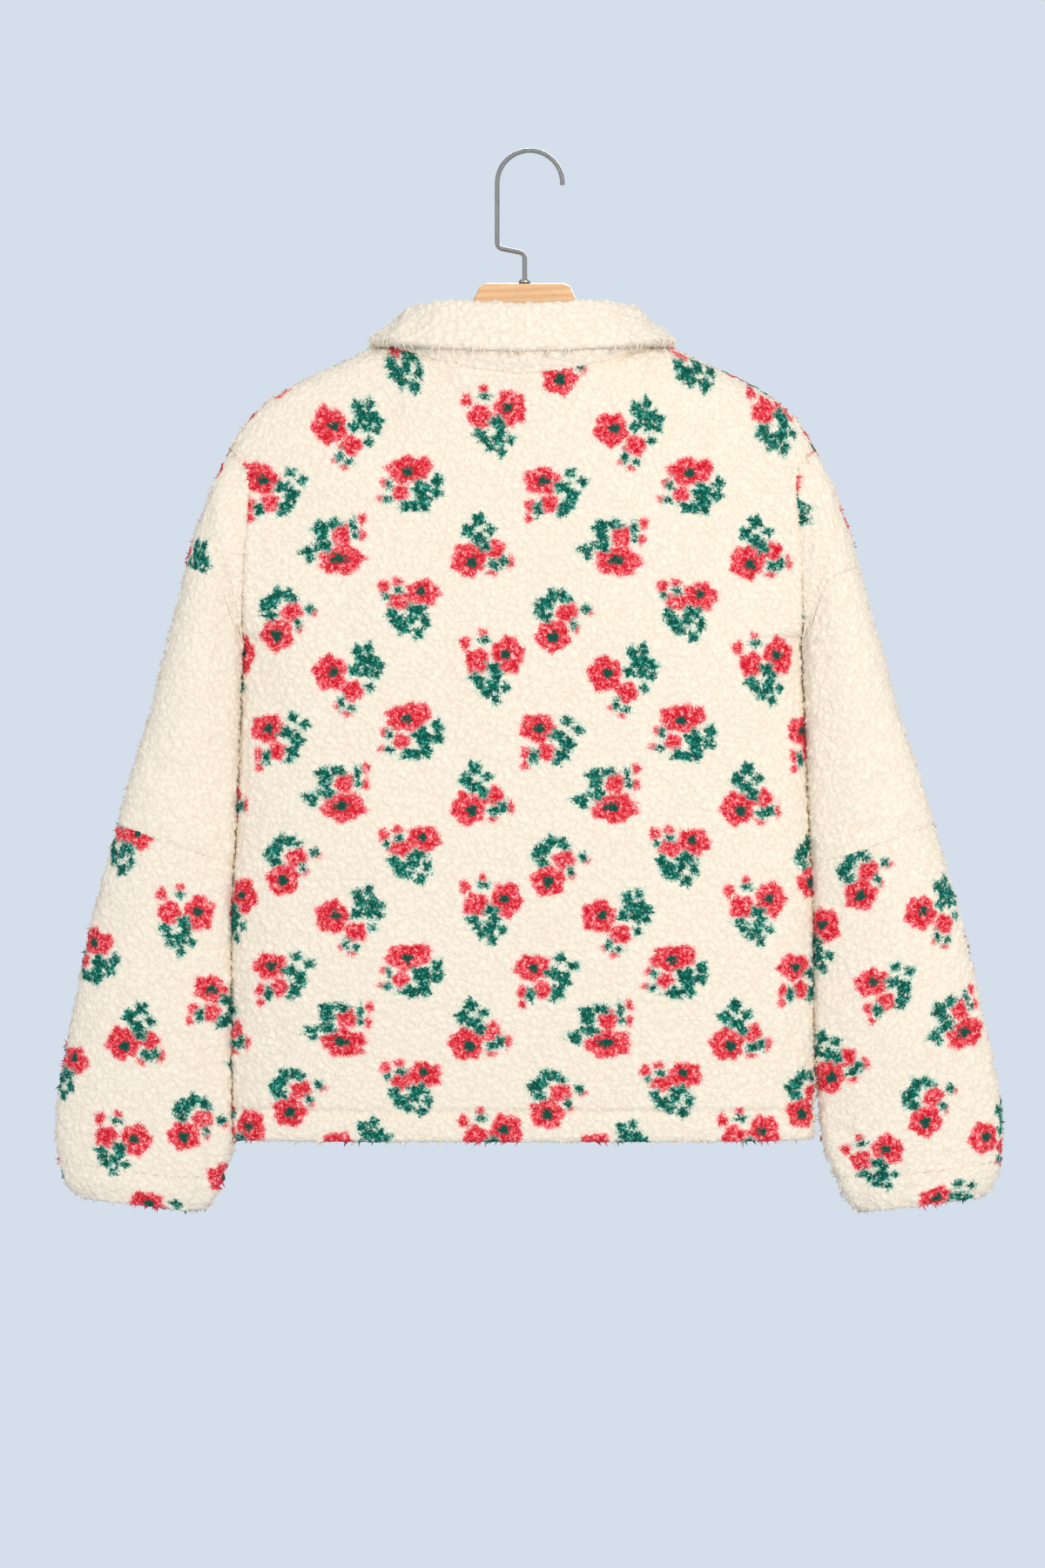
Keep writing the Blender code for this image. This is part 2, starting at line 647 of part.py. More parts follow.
def make_buttons(outer):
    """Turned discs with a raised rim and four holes, flat against the placket."""
    hole_turns = [math.radians(45 + 90 * corner) for corner in range(4)]
    for number, z in enumerate(BUTTON_ZS, 1):
        near = [front_at(outer, MIDDLE_X, z + step) for step in (-BUTTON_RADIUS, 0, BUTTON_RADIUS)]
        y = max(near) + SEAM_GAP + PLACKET_CLOTH + SEAM_GAP
        builder = bmesh.new()
        profile = (  # radius and height, from the underside over the rim into the dish
            (BUTTON_RADIUS - BUTTON_EDGE, 0.0),
            (BUTTON_RADIUS, BUTTON_EDGE),
            (BUTTON_RADIUS, BUTTON_THICKNESS - BUTTON_EDGE),
            (BUTTON_RADIUS - BUTTON_EDGE, BUTTON_THICKNESS),
            (BUTTON_RADIUS - 2 * BUTTON_EDGE, BUTTON_THICKNESS),
            (BUTTON_RADIUS - 3 * BUTTON_EDGE, BUTTON_THICKNESS - BUTTON_DISH),
        )
        rings = []
        for radius, height in profile:
            ring = []
            for corner in range(BUTTON_SIDES):
                turn = 2 * math.pi * corner / BUTTON_SIDES
                place = (MIDDLE_X + radius * math.cos(turn), y + height, z + radius * math.sin(turn))
                ring.append(builder.verts.new(place))
            rings.append(ring)
        for low, high in zip(rings, rings[1:]):
            for corner in range(BUTTON_SIDES):
                after = (corner + 1) % BUTTON_SIDES
                builder.faces.new((low[corner], low[after], high[after], high[corner]))
        builder.faces.new(rings[0])
        builder.faces.new(rings[-1])
        bmesh.ops.recalc_face_normals(builder, faces=builder.faces)
        button = new_object(f"button_{number}", builder, "button_plastic")
        for turn in hole_turns:
            drill_x = MIDDLE_X + BUTTON_HOLE_SPREAD * math.cos(turn)
            drill_z = z + BUTTON_HOLE_SPREAD * math.sin(turn)
            drill_hole(button, drill_x, y, drill_z)


def drill_hole(button, x, y, z):
    bpy.ops.mesh.primitive_cylinder_add(
        vertices=BUTTON_HOLE_SIDES,
        radius=BUTTON_HOLE_RADIUS,
        depth=4 * BUTTON_THICKNESS,
        location=(x, y, z),
        rotation=(math.pi / 2, 0, 0),
    )
    drill = bpy.context.object
    drill.name = "button_drill"
    drill.hide_render = True
    drill.display_type = "WIRE"
    cut = button.modifiers.new("hole", "BOOLEAN")
    cut.operation = "DIFFERENCE"
    cut.object = drill
    cut.solver = "EXACT"


# ---------------------------------------------------------------- hanger
def hanger_outline(section):
    """A rectangle with rounded corners in the YZ plane."""
    half_height = (section.top - section.bottom) / 2
    middle_z = (section.top + section.bottom) / 2
    least_half = min(section.half_thickness, half_height)
    radius = min(HANGER_CORNER_RADIUS, least_half - HANGER_LEAST_FLAT)
    points = []
    for corner, (y_sign, z_sign) in enumerate(((1, 1), (-1, 1), (-1, -1), (1, -1))):
        for step in range(HANGER_CORNER_STEPS + 1):
            turn = math.pi / 2 * (corner + step / HANGER_CORNER_STEPS)
            y = y_sign * (section.half_thickness - radius) + radius * math.cos(turn)
            z = middle_z + z_sign * (half_height - radius) + radius * math.sin(turn)
            points.append((y, z))
    return points


def make_hanger_wood():
    builder = bmesh.new()
    sections = [(-section.x, section) for section in reversed(HANGER[1:])]
    sections += [(section.x, section) for section in HANGER]
    rings = []
    for x, section in sections:
        outline = hanger_outline(section)
        rings.append([builder.verts.new((HANGER_MIDDLE_X + x, y, z)) for y, z in outline])
    for low, high in zip(rings, rings[1:]):
        for corner in range(len(low)):
            after = (corner + 1) % len(low)
            builder.faces.new((low[corner], low[after], high[after], high[corner]))
    builder.faces.new(rings[0])
    builder.faces.new(rings[-1])
    bmesh.ops.recalc_face_normals(builder, faces=builder.faces)
    new_object("hanger_wood", builder, "beech")


def rounded_corner(before, corner, after):
    """Points of a soft bend in the wire, in place of a sharp corner."""
    start = corner + (before - corner).normalized() * CRANK_BEND
    end = corner + (after - corner).normalized() * CRANK_BEND
    points = []
    for step in range(CRANK_BEND_STEPS + 1):
        share = step / CRANK_BEND_STEPS
        points.append(start.lerp(corner, share).lerp(corner.lerp(end, share), share))
    return points


def hook_route():
    """The wire's centre line: up from the wood, over the crank, up and round the hook."""
    stem_foot = Vector((STEM_X, 0, STEM_BOTTOM_Z))
    crank_low = Vector((STEM_X, 0, CRANK_LOW_Z))
    start_turn = math.radians(HOOK_START_DEGREES)
    hook_start_x = HOOK_MIDDLE[0] + HOOK_RADIUS * math.cos(start_turn)
    crank_high = Vector((hook_start_x, 0, CRANK_HIGH_Z))
    hook_start = Vector((hook_start_x, 0, HOOK_MIDDLE[1]))
    route = [stem_foot]
    route += rounded_corner(stem_foot, crank_low, crank_high)
    route += rounded_corner(crank_low, crank_high, hook_start)
    for step in range(HOOK_STEPS + 1):
        degrees = HOOK_START_DEGREES + (HOOK_END_DEGREES - HOOK_START_DEGREES) * step / HOOK_STEPS
        turn = math.radians(degrees)
        x = HOOK_MIDDLE[0] + HOOK_RADIUS * math.cos(turn)
        z = HOOK_MIDDLE[1] + HOOK_RADIUS * math.sin(turn)
        route.append(Vector((x, 0, z)))
    return route


def make_hook():
    curve = bpy.data.curves.new("hanger_hook", "CURVE")
    curve.dimensions = "3D"
    curve.bevel_depth = WIRE_RADIUS
    curve.bevel_resolution = WIRE_SIDES_STEP
    curve.use_fill_caps = True
    route = hook_route()
    spline = curve.splines.new("POLY")
    spline.points.add(len(route) - 1)
    for point, place in zip(spline.points, route):
        point.co = (*place, 1.0)
    curve.materials.append(finish("brushed_nickel"))
    hook = bpy.data.objects.new("hanger_hook", curve)
    bpy.context.scene.collection.objects.link(hook)


def make_ferrule():
    builder = bmesh.new()
    hole = WIRE_RADIUS + SEAM_GAP
    bottom = HANGER[0].top + SEAM_GAP
    profile = (
        (hole, 0.0),
        (FERRULE_RADIUS, 0.0),
        (FERRULE_RADIUS, FERRULE_HEIGHT * FERRULE_SHOULDER),
        (FERRULE_RADIUS - FERRULE_EDGE, FERRULE_HEIGHT),
        (hole, FERRULE_HEIGHT),
    )
    rings = []
    for radius, height in profile:
        ring = []
        for corner in range(FERRULE_SIDES):
            turn = 2 * math.pi * corner / FERRULE_SIDES
            place = (STEM_X + radius * math.cos(turn), radius * math.sin(turn), bottom + height)
            ring.append(builder.verts.new(place))
        rings.append(ring)
    for low, high in zip(rings, rings[1:] + rings[:1]):
        for corner in range(FERRULE_SIDES):
            after = (corner + 1) % FERRULE_SIDES
            builder.faces.new((low[corner], low[after], high[after], high[corner]))
    bmesh.ops.recalc_face_normals(builder, faces=builder.faces)
    new_object("hanger_ferrule", builder, "brushed_nickel")


def main():
    for old in list(bpy.data.objects):
        bpy.data.objects.remove(old, do_unlink=True)
    make_body()
    make_sleeves()
    make_collar()
    front_face = panel_grids(FRONT)[0]
    make_placket(front_face)
    make_buttons(front_face)
    make_hanger_wood()
    make_hook()
    make_ferrule()


main()
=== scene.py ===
"""A curly fleece pullover with a flower print and a turned-down collar, on a wooden hanger.

Builds the cloth's fine surfaces, print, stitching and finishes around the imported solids, with a
plain studio. Metres, +Z up; the garment's photographed back faces -Y.
"""

import itertools
import math
from collections import namedtuple

import bmesh
import bpy
import numpy as np
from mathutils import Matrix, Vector


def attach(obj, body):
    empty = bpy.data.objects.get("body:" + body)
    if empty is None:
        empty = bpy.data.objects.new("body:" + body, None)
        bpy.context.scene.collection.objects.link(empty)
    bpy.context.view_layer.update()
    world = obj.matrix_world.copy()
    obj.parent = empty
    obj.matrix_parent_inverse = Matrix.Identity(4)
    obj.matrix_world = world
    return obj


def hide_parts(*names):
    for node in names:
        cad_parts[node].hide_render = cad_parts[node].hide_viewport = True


bl_info = {
    "name": "Fleece Pullover Dresser",
    "version": (1, 0, 0),
    "blender": (4, 5, 0),
    "location": "View3D > Sidebar > Pullover",
    "description": "Adds pile, print, stitching and finishes to a pullover on a hanger",
    "category": "Object",
}

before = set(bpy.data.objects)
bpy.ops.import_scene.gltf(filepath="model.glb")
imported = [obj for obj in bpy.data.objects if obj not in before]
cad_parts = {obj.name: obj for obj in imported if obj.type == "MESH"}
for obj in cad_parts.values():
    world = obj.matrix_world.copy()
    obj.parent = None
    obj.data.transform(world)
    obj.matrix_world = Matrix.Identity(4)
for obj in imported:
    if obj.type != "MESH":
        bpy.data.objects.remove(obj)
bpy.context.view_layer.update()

# ---------------------------------------------------------------- shape, as the solids have it
SEAM_GAP = 0.0003  # between pieces that meet at a seam
SEAM_CLEAR = 0.0012  # a panel's inside stays this far on its own side of the side seams
CLOTH = 0.006  # curly fleece, knit and pile together
HEM_CLOTH = 0.011  # the turned-up hem, two layers
CUFF_CLOTH = 0.010  # the elastic casing, two layers
MIDDLE_X = -0.003  # the garment hangs this far beside the hook
BACK = -1
FRONT = 1
LEFT = -1
RIGHT = 1

BODY_COLUMNS = 12  # from the middle to a side seam
NECK_COLUMN = 4  # the column that ends at the neck point
ARMHOLE_STEPS = 10  # from the shoulder tip to the underarm
ARMHOLE_HALF_DEPTH = 0.024
EDGE_POWER = 4  # how sharply the body rounds into its side seams
EDGE_REACH = 6  # how quickly the armhole's depth fades towards the body's middle
ROUND_POWER = 0.85  # below 1, sections are a little fuller than an ellipse
NECK_ANGLES = (0, 18, 38, 62, 90)  # of the neck seam's points, from its middle
NECK_HALF_WIDTH = 0.121
NECK_HALF_DEPTH = {BACK: 0.034, FRONT: 0.036}
NECK_POINT_Z = -0.167  # where the neck seam crosses the shoulder seam
NECK_DROP = {BACK: 0.030, FRONT: 0.070}
NECK_DROP_POWER = {BACK: 1.8, FRONT: 1.9}

ShoulderPoint = namedtuple("ShoulderPoint", "x z")
SHOULDER = (
    ShoulderPoint(0.121, NECK_POINT_Z),
    ShoulderPoint(0.152, -0.180),
    ShoulderPoint(0.175, -0.190),
    ShoulderPoint(0.199, -0.2015),
    ShoulderPoint(0.218, -0.2130),
    ShoulderPoint(0.228, -0.2215),
    ShoulderPoint(0.237, -0.2305),
    ShoulderPoint(0.247, -0.2435),
    ShoulderPoint(0.257, -0.2615),
)

ArmholePoint = namedtuple("ArmholePoint", "z x")
ARMHOLE = (
    ArmholePoint(-0.2615, 0.257),
    ArmholePoint(-0.2655, 0.249),
    ArmholePoint(-0.2735, 0.241),
    ArmholePoint(-0.2870, 0.237),
    ArmholePoint(-0.310, 0.238),
    ArmholePoint(-0.345, 0.2405),
    ArmholePoint(-0.399, 0.243),
    ArmholePoint(-0.425, 0.244),
)

BodySection = namedtuple("BodySection", "z half_width back front cloth")
BODY = (
    BodySection(-0.2615, 0.257, 0.034, 0.033, CLOTH),
    BodySection(-0.330, 0.244, 0.036, 0.034, CLOTH),
    BodySection(-0.425, 0.244, 0.038, 0.034, CLOTH),
    BodySection(-0.452, 0.2455, 0.038, 0.034, CLOTH),
    BodySection(-0.490, 0.247, 0.038, 0.033, CLOTH),
    BodySection(-0.540, 0.249, 0.037, 0.033, CLOTH),
    BodySection(-0.590, 0.251, 0.037, 0.032, CLOTH),
    BodySection(-0.640, 0.254, 0.036, 0.032, CLOTH),
    BodySection(-0.690, 0.255, 0.035, 0.031, CLOTH),
    BodySection(-0.740, 0.255, 0.034, 0.031, CLOTH),
    BodySection(-0.790, 0.255, 0.033, 0.030, CLOTH),
    BodySection(-0.8335, 0.2545, 0.032, 0.030, CLOTH),
    BodySection(-0.8365, 0.2545, 0.032, 0.030, HEM_CLOTH),
    BodySection(-0.856, 0.254, 0.031, 0.029, HEM_CLOTH),
    BodySection(-0.862, 0.251, 0.028, 0.026, 0.0065),
)

# Each section of a sleeve runs from a point on its outer edge to one on its inner edge.
# Its line on the face falls by slope, and near the body it dips to the inner point.
SleeveSection = namedtuple("SleeveSection", "outer_x outer_z inner_x inner_z slope dip depth")
SLEEVE = (
    SleeveSection(0.268, -0.284, 0.2449, -0.428, 0.30, 0.25, 0.030),
    SleeveSection(0.280, -0.315, 0.2454, -0.432, 0.34, 0.50, 0.0305),
    SleeveSection(0.288, -0.338, 0.2459, -0.437, 0.38, 0.75, 0.031),
    SleeveSection(0.294, -0.361, 0.2465, -0.443, 0.40, 1.00, 0.031),
    SleeveSection(0.303, -0.399, 0.2477, -0.467, 0.37, 1.00, 0.031),
    SleeveSection(0.314, -0.440, 0.2486, -0.494, 0.36, 1.00, 0.031),
    SleeveSection(0.325, -0.486, 0.2500, -0.529, 0.36, 1.00, 0.031),
    SleeveSection(0.340, -0.535, 0.2518, -0.573, 0.36, 1.00, 0.031),
    SleeveSection(0.354, -0.585, 0.2543, -0.620, 0.35, 1.00, 0.031),
    SleeveSection(0.365, -0.627, 0.2563, -0.661, 0.34, 1.00, 0.031),
    SleeveSection(0.377, -0.672, 0.2565, -0.706, 0.32, 1.00, 0.031),
    SleeveSection(0.387, -0.719, 0.2565, -0.750, 0.28, 1.00, 0.031),
    SleeveSection(0.396, -0.765, 0.2563, -0.793, 0.24, 1.00, 0.030),
    SleeveSection(0.404, -0.809, 0.2560, -0.832, 0.20, 1.00, 0.029),
    SleeveSection(0.408, -0.848, 0.2560, -0.866, 0.16, 1.00, 0.028),
    SleeveSection(0.406, -0.878, 0.2640, -0.892, 0.13, 1.00, 0.027),
    SleeveSection(0.401, -0.896, 0.2710, -0.909, 0.12, 1.00, 0.026),
    SleeveSection(0.392, -0.908, 0.2800, -0.921, 0.12, 1.00, 0.023),
    SleeveSection(0.385, -0.912, 0.2880, -0.925, 0.12, 1.00, 0.020),
)
SLEEVE_PIECES = (  # name, first and last section, counted from the armhole
    ("sleeve_top", 0, 4),
    ("sleeve_middle", 4, 9),
    ("sleeve_lower", 9, 16),
    ("cuff", 16, 19),
)
SWING = {LEFT: 0.0, RIGHT: 0.012}  # how much further out the cuff hangs
SWING_FROM_Z = -0.361
SWING_LENGTH = 0.494
TUCK_TOP_Z = -0.70  # down to here the sleeve's inner edge stays against the body
TUCK_LENGTH = 0.20
DIP_REACH = math.radians(80)  # how far round from its inner edge a section dips
ARMHOLE_GAP_X = 0.0004
SLEEVE_MIDDLE_Y = 0.003  # the sleeves hang this far behind the back's face

# Each section of the collar stands on the neck seam, measured outwards and upwards from it.
# angle runs from the middle of the back to the middle of the front; slant moves the fall's edge
# along the seam, away from the front opening.
CollarSection = namedtuple("CollarSection", "angle rise lean out drop slant")
COLLAR = (
    CollarSection(0, 0.0615, 0.003, 0.0065, 0.0435, 0.000),
    CollarSection(18, 0.0595, 0.002, 0.0070, 0.0440, 0.000),
    CollarSection(38, 0.0523, -0.002, 0.0115, 0.0425, 0.000),
    CollarSection(62, 0.0373, -0.013, 0.0240, 0.0335, 0.000),
    CollarSection(90, 0.0285, -0.021, 0.0315, 0.0290, 0.000),
    CollarSection(118, 0.0280, -0.012, 0.0300, 0.0400, 0.000),
    CollarSection(142, 0.0270, -0.004, 0.0200, 0.0520, 0.004),
    CollarSection(162, 0.0250, -0.001, 0.0160, 0.0620, 0.012),
    CollarSection(172, 0.0230, 0.000, 0.0150, 0.0680, 0.022),
)
COLLAR_GAP = 0.0008  # between the stand and the fall
COLLAR_LIFT = 0.0007  # over the neck seam, which slopes at the front
COLLAR_CURVE = 0.25  # how strongly the table's rows are joined by curves
STAND_STEPS = 3
FOLD_STEPS = 4
FALL_STEPS = 4

PLACKET_HALF_WIDTH = 0.015
PLACKET_BOTTOM_Z = -0.375
PLACKET_CLOTH = 0.0035
PLACKET_DROP = 0.001  # below the neck seam
PLACKET_STEPS = 8
PLACKET_SHARES = (-1, -0.5, 0, 0.5, 1)
PLACKET_CLUMP = 0.0055

# ---------------------------------------------------------------- pile and cloth
# Distance between the points of a pile face, by the first word of its piece's name.
SPACINGS = {
    "back": 0.0020,
    "front": 0.0024,
    "sleeve": 0.0022,
    "cuff": 0.0022,
    "collar": 0.0018,
    "placket": 0.0015,
}
NECK_FULLNESS = 0.0040  # of the pile on both sides of the back neck seam
NECK_FULL_REACH = 0.032
NECK_FULL_SPAN = (0.050, 0.105)  # from the middle, where it fades out
FALL_FULLNESS = 0.0048  # of the pile under the fall's edge
FALL_FULL_REACH = 0.012
FALL_EASE = 0.0026  # less of it at the middle of the back
STAND_FULLNESS = 0.0082  # of the stand's pile, under the fall's edge
CREASE_FULLNESS = 0.0042  # of the sleeve's pile, beside the body
COLLAR_FOLD_SHARE = 0.55  # where the collar folds, from its seam to its edge
SEAM_OVERLAP = 0.0009  # how far sewn edges reach into the seam
UNDERARM_Z = -0.385
ROUND_REACH = 0.0045  # how far from a free edge the pile rounds off
ROUND_DEPTH = 0.0026
TUFT_REACH = 0.004  # how far from a free edge loose locks stand
TURNED_PILE = 0.9  # how much higher the pile stands where the cloth turns away to the side
TURNED_TUFTS = 0.55  # the locks' share where the cloth turns away to the side
ARMHOLE_TUFTS = 0.9
ARMHOLE_TUFT_WAY = (0.0015, 0.0045)  # from the armhole seam to where its locks end
ARMHOLE_TUFT_DEPTHS = (0.275, 0.330)  # below the hook, where they start
TIP_TUFT_HEIGHTS = (-0.310, -0.280)  # where locks start to cover the seam at the shoulder's tip
TIP_TUFT_SPAN = (0.20, 0.225)  # and from the middle
TIP_SEAM_DEPTHS = (0.268, 0.305)  # below the hook, where the armhole seam starts to show
UNDERARM_FADE = 0.04  # below the underarm, the side seams fill out over this length
CREASE_FADE = 0.05
FLARE = 0.9  # how far the panels' locks lean away from the middle
LINING_SPACING = 0.013  # between points of the knit face inside
WARP_SIZE = 0.9  # in clump sizes
WARP_SHARE = 0.35
CURL_SIZE = 0.45
DOME_SHARE = 0.55  # of the pile's height that a clump's dome gives
TONE_SHARE = 0.25  # that differs from clump to clump
CURL_SHARE = 0.20  # that its small curls give
PARTING_WIDTH = 0.42
SEAM_SINK = 0.0022  # how deep the pile sinks at a sewn edge
SEAM_REACH = 0.0050
HEM_TOP_Z = BODY[-3].z  # where the turned-up hem starts
HEM_STITCH_Z = -0.8345
HEM_STITCH_WIDTH = 0.0026
HEM_STITCH_DEPTH = 0.0030
HEM_WANDER = 0.03  # the stitch line's depth changes over this length
BUTTON_DISH = 0.0012
BUTTON_HOLE_SPREAD = 0.0020
THREAD_RADIUS = 0.00035
THREAD_SIDES = 6
THREAD_STEPS = 8  # along a thread from hole to hole
THREAD_APART = 0.00028  # half the distance between the two threads of a pair
THREAD_LIFT = 0.0005
THREAD_DIP = 0.0012  # into the buttons' holes
STITCH_STEPS = 4
STITCH_INSET = 0.0026
STITCH_STEP = 0.0044
STITCH_LENGTH = 0.0030
# What a cloth piece's attributes say on its inside.
REST_VALUES = {"pile": 0.5, "red": -0.008, "green": -0.008, "heart": -0.008, "tufts": 0.0}
STRAND_SCALE = 620.0  # of the noise that stands for single hairs
WISP_SCALE = 300.0  # for wisps of a few hairs
BROAD_SCALE = 9.0  # and for soft patches of a warmer shade
CURL_BEND = 0.0024  # how far the parting lines wander, in metres
PARTING_LINE = 0.11  # a parting line's half width as a share of a curl
LINE_SHADE = 0.34  # painted shade: how much darker and beiger the parting lines are drawn
LOW_SHADE = 0.20  # painted shade: how much darker and beiger the low pile is drawn
STRAND_SPREAD = 0.0110  # how far single hairs carry the print over its outline, in metres
WISP_SPREAD = 0.0070
EDGE_SOFTNESS = 0.0007
WISP_LIGHT = 5.2  # how much lighter the dyed wisps' tips are
STRAND_LIGHT = 2.9
FLECK_SHARE = 0.85
RIM_FROM = -0.0026  # the pale rim round the print, from outside
RIM_TO = -0.0008
PINK_RIM = 0.30
MINT_RIM = 0.42
PILE_SHEEN = 0.25
DYED_SHEEN = 0.03
HEART_DARK = (0.006, 0.070, 0.045)

# Soft folds as lines in the XZ plane, with a bow, a width across and a height (below 0 for a trough).
Fold = namedtuple("Fold", "start_x start_z end_x end_z bow width height")
BACK_FOLDS = (
    Fold(-0.205, -0.300, -0.150, -0.470, 0.012, 0.020, -0.0016),
    Fold(0.203, -0.310, 0.160, -0.455, -0.010, 0.022, -0.0014),
    Fold(-0.120, -0.560, -0.135, -0.800, 0.008, 0.035, 0.0018),
    Fold(0.095, -0.600, 0.120, -0.830, -0.006, 0.030, 0.0015),
    Fold(-0.020, -0.640, -0.010, -0.840, 0.010, 0.028, -0.0012),
    Fold(-0.235, -0.440, -0.205, -0.560, 0.006, 0.014, -0.0016),
    Fold(0.232, -0.450, 0.208, -0.540, -0.006, 0.014, -0.0014),
)
FRONT_FOLDS = (
    Fold(-0.200, -0.310, -0.130, -0.480, 0.010, 0.022, -0.0018),
    Fold(0.198, -0.300, 0.140, -0.440, -0.012, 0.020, -0.0015),
    Fold(-0.070, -0.420, -0.100, -0.640, 0.010, 0.034, 0.0020),
    Fold(0.060, -0.460, 0.085, -0.700, -0.008, 0.030, 0.0016),
    Fold(0.010, -0.600, -0.005, -0.840, 0.006, 0.026, -0.0014),
)
SLEEVE_FOLDS = (  # for the left sleeve; the right one has them mirrored and a little lower
    Fold(-0.292, -0.545, -0.330, -0.530, 0.004, 0.011, -0.0016),
    Fold(-0.270, -0.600, -0.318, -0.585, 0.005, 0.013, 0.0015),
    Fold(-0.268, -0.668, -0.312, -0.640, -0.004, 0.012, -0.0015),
    Fold(-0.378, -0.760, -0.335, -0.780, 0.004, 0.016, 0.0016),
    Fold(-0.282, -0.830, -0.300, -0.885, 0.003, 0.010, -0.0016),
    Fold(-0.322, -0.850, -0.330, -0.900, -0.002, 0.009, -0.0014),
    Fold(-0.372, -0.845, -0.362, -0.895, 0.003, 0.010, -0.0016),
)
SLEEVE_FOLD_SHIFT = 0.012


# ---------------------------------------------------------------- the solids' sections
def smooth_step(value):
    """0 below 0 and 1 above 1, with a soft rise between."""
    value = min(1.0, max(0.0, value))
    return value * value * (3 - 2 * value)


def read_table(table, key, column, value):
    """The column's value where the key has this value, on straight lines between the rows."""
    rows = sorted(table, key=lambda row: getattr(row, key))
    value = min(max(value, getattr(rows[0], key)), getattr(rows[-1], key))
    for low, high in zip(rows, rows[1:]):
        if value <= getattr(high, key):
            span = getattr(high, key) - getattr(low, key)
            share = (value - getattr(low, key)) / span
            return getattr(low, column) + share * (getattr(high, column) - getattr(low, column))
    return getattr(rows[-1], column)


def rounded(angle):
    """A section's depth at this angle from its edge, in shares of its half depth."""
    return abs(math.sin(angle)) ** ROUND_POWER


def grid_normals(grid, wraps, outward):
    """Unit normals of a grid of points, from each point's neighbours."""
    rows = len(grid)
    columns = len(grid[0])
    normals = []
    for r in range(rows):
        line = []
        for c in range(columns):
            above = grid[max(r - 1, 0)][c]
            below = grid[min(r + 1, rows - 1)][c]
            if wraps:
                before = grid[r][(c - 1) % columns]
                after = grid[r][(c + 1) % columns]
            else:
                before = grid[r][max(c - 1, 0)]
                after = grid[r][min(c + 1, columns - 1)]
            line.append((after - before).cross(below - above).normalized() * outward)
        normals.append(line)
    return normals


def armhole_angle(step):
    """0 at the shoulder tip and pi at the underarm."""
    return math.pi * step / ARMHOLE_STEPS


def armhole_point(step):
    """x from the middle, half depth and z of the armhole seam."""
    angle = armhole_angle(step)
    top = ARMHOLE[0].z
    bottom = ARMHOLE[-1].z
    z = top + (bottom - top) * (1 - math.cos(angle)) / 2
    return read_table(ARMHOLE, "z", "x", z), ARMHOLE_HALF_DEPTH * rounded(angle), z


def armhole_inset(step, face, towards_x):
    """The direction through the cloth at the armhole seam: down at the top, across at the underarm."""
    angle = armhole_angle(step)
    across = -face * math.sin(angle)
    if step * 2 <= ARMHOLE_STEPS:
        return Vector((0, across, -math.cos(angle)))
    return Vector((towards_x * -math.cos(angle), across, 0))


def neck_point(angle_degrees):
    """A point of the neck seam, from the middle of the back (0) to the middle of the front (180)."""
    angle = math.radians(angle_degrees)
    face = BACK if angle_degrees < 90 else FRONT
    share = abs(math.cos(angle))
    x = NECK_HALF_WIDTH * math.sin(angle)
    if face == BACK:
        fall = 1 - (x / NECK_HALF_WIDTH) ** NECK_DROP_POWER[BACK]
    else:
        fall = share ** NECK_DROP_POWER[FRONT]
    z = NECK_POINT_Z - NECK_DROP[face] * fall
    return Vector((x, face * NECK_HALF_DEPTH[face] * share, z))


def neck_outwards(angle_degrees):
    """The level direction out of the neck opening at this angle."""
    angle = math.radians(angle_degrees)
    half_depth = NECK_HALF_DEPTH[BACK if angle_degrees < 90 else FRONT]
    return Vector((math.sin(angle) * half_depth, -math.cos(angle) * NECK_HALF_WIDTH, 0)).normalized()


def top_point(column, face):
    """The panel's top edge at this column: the neck seam, then the shoulder seam."""
    if column <= NECK_COLUMN:
        angle = NECK_ANGLES[column]
        return neck_point(angle if face == BACK else 180 - angle)
    x = SHOULDER[-1].x * column_share(column)
    return Vector((x, 0, read_table(SHOULDER, "x", "z", x)))


def column_share(column):
    """How far out a column lies, from 0 in the middle to 1 at the side seam."""
    return math.sin(math.pi / 2 * column / BODY_COLUMNS)


def body_levels():
    """Edge x, half depth, z and armhole step of each row, from the shoulder tip to the hem."""
    levels = []
    for step in range(ARMHOLE_STEPS + 1):
        x, half_depth, z = armhole_point(step)
        levels.append((x, half_depth, z, step))
    for section in BODY:
        if section.z < ARMHOLE[-1].z:
            levels.append((section.half_width, 0.0, section.z, None))
    return levels


def body_point(level, column, side, face):
    """A point of the panel's outer face."""
    edge_x, edge_depth, edge_z, step = level
    share = column_share(column)
    depth_name = "back" if face == BACK else "front"
    full_depth = read_table(BODY, "z", depth_name, edge_z)
    roundness = (1 - share**EDGE_POWER) ** 0.5
    if step is None:
        depth = full_depth * roundness
        return Vector((MIDDLE_X + side * edge_x * share, face * depth, edge_z))
    tip = SHOULDER[-1]
    top = top_point(column, face)
    climb = ((edge_z - ARMHOLE[-1].z) / (tip.z - ARMHOLE[-1].z)) ** 2
    x = edge_x * share + (top.x - tip.x * share) * climb
    z = edge_z + (top.z - tip.z) * climb
    on_shoulder = step * 2 <= ARMHOLE_STEPS
    if on_shoulder:
        edge_depth = ARMHOLE_HALF_DEPTH
    near_edge = share**EDGE_REACH
    open_depth = edge_depth + (full_depth - edge_depth) * roundness
    depth = full_depth * roundness * (1 - near_edge) + open_depth * near_edge
    if on_shoulder:
        depth = abs(top.y) + (depth - abs(top.y)) * rounded(armhole_angle(step))
    return Vector((MIDDLE_X + side * x, face * depth, z))


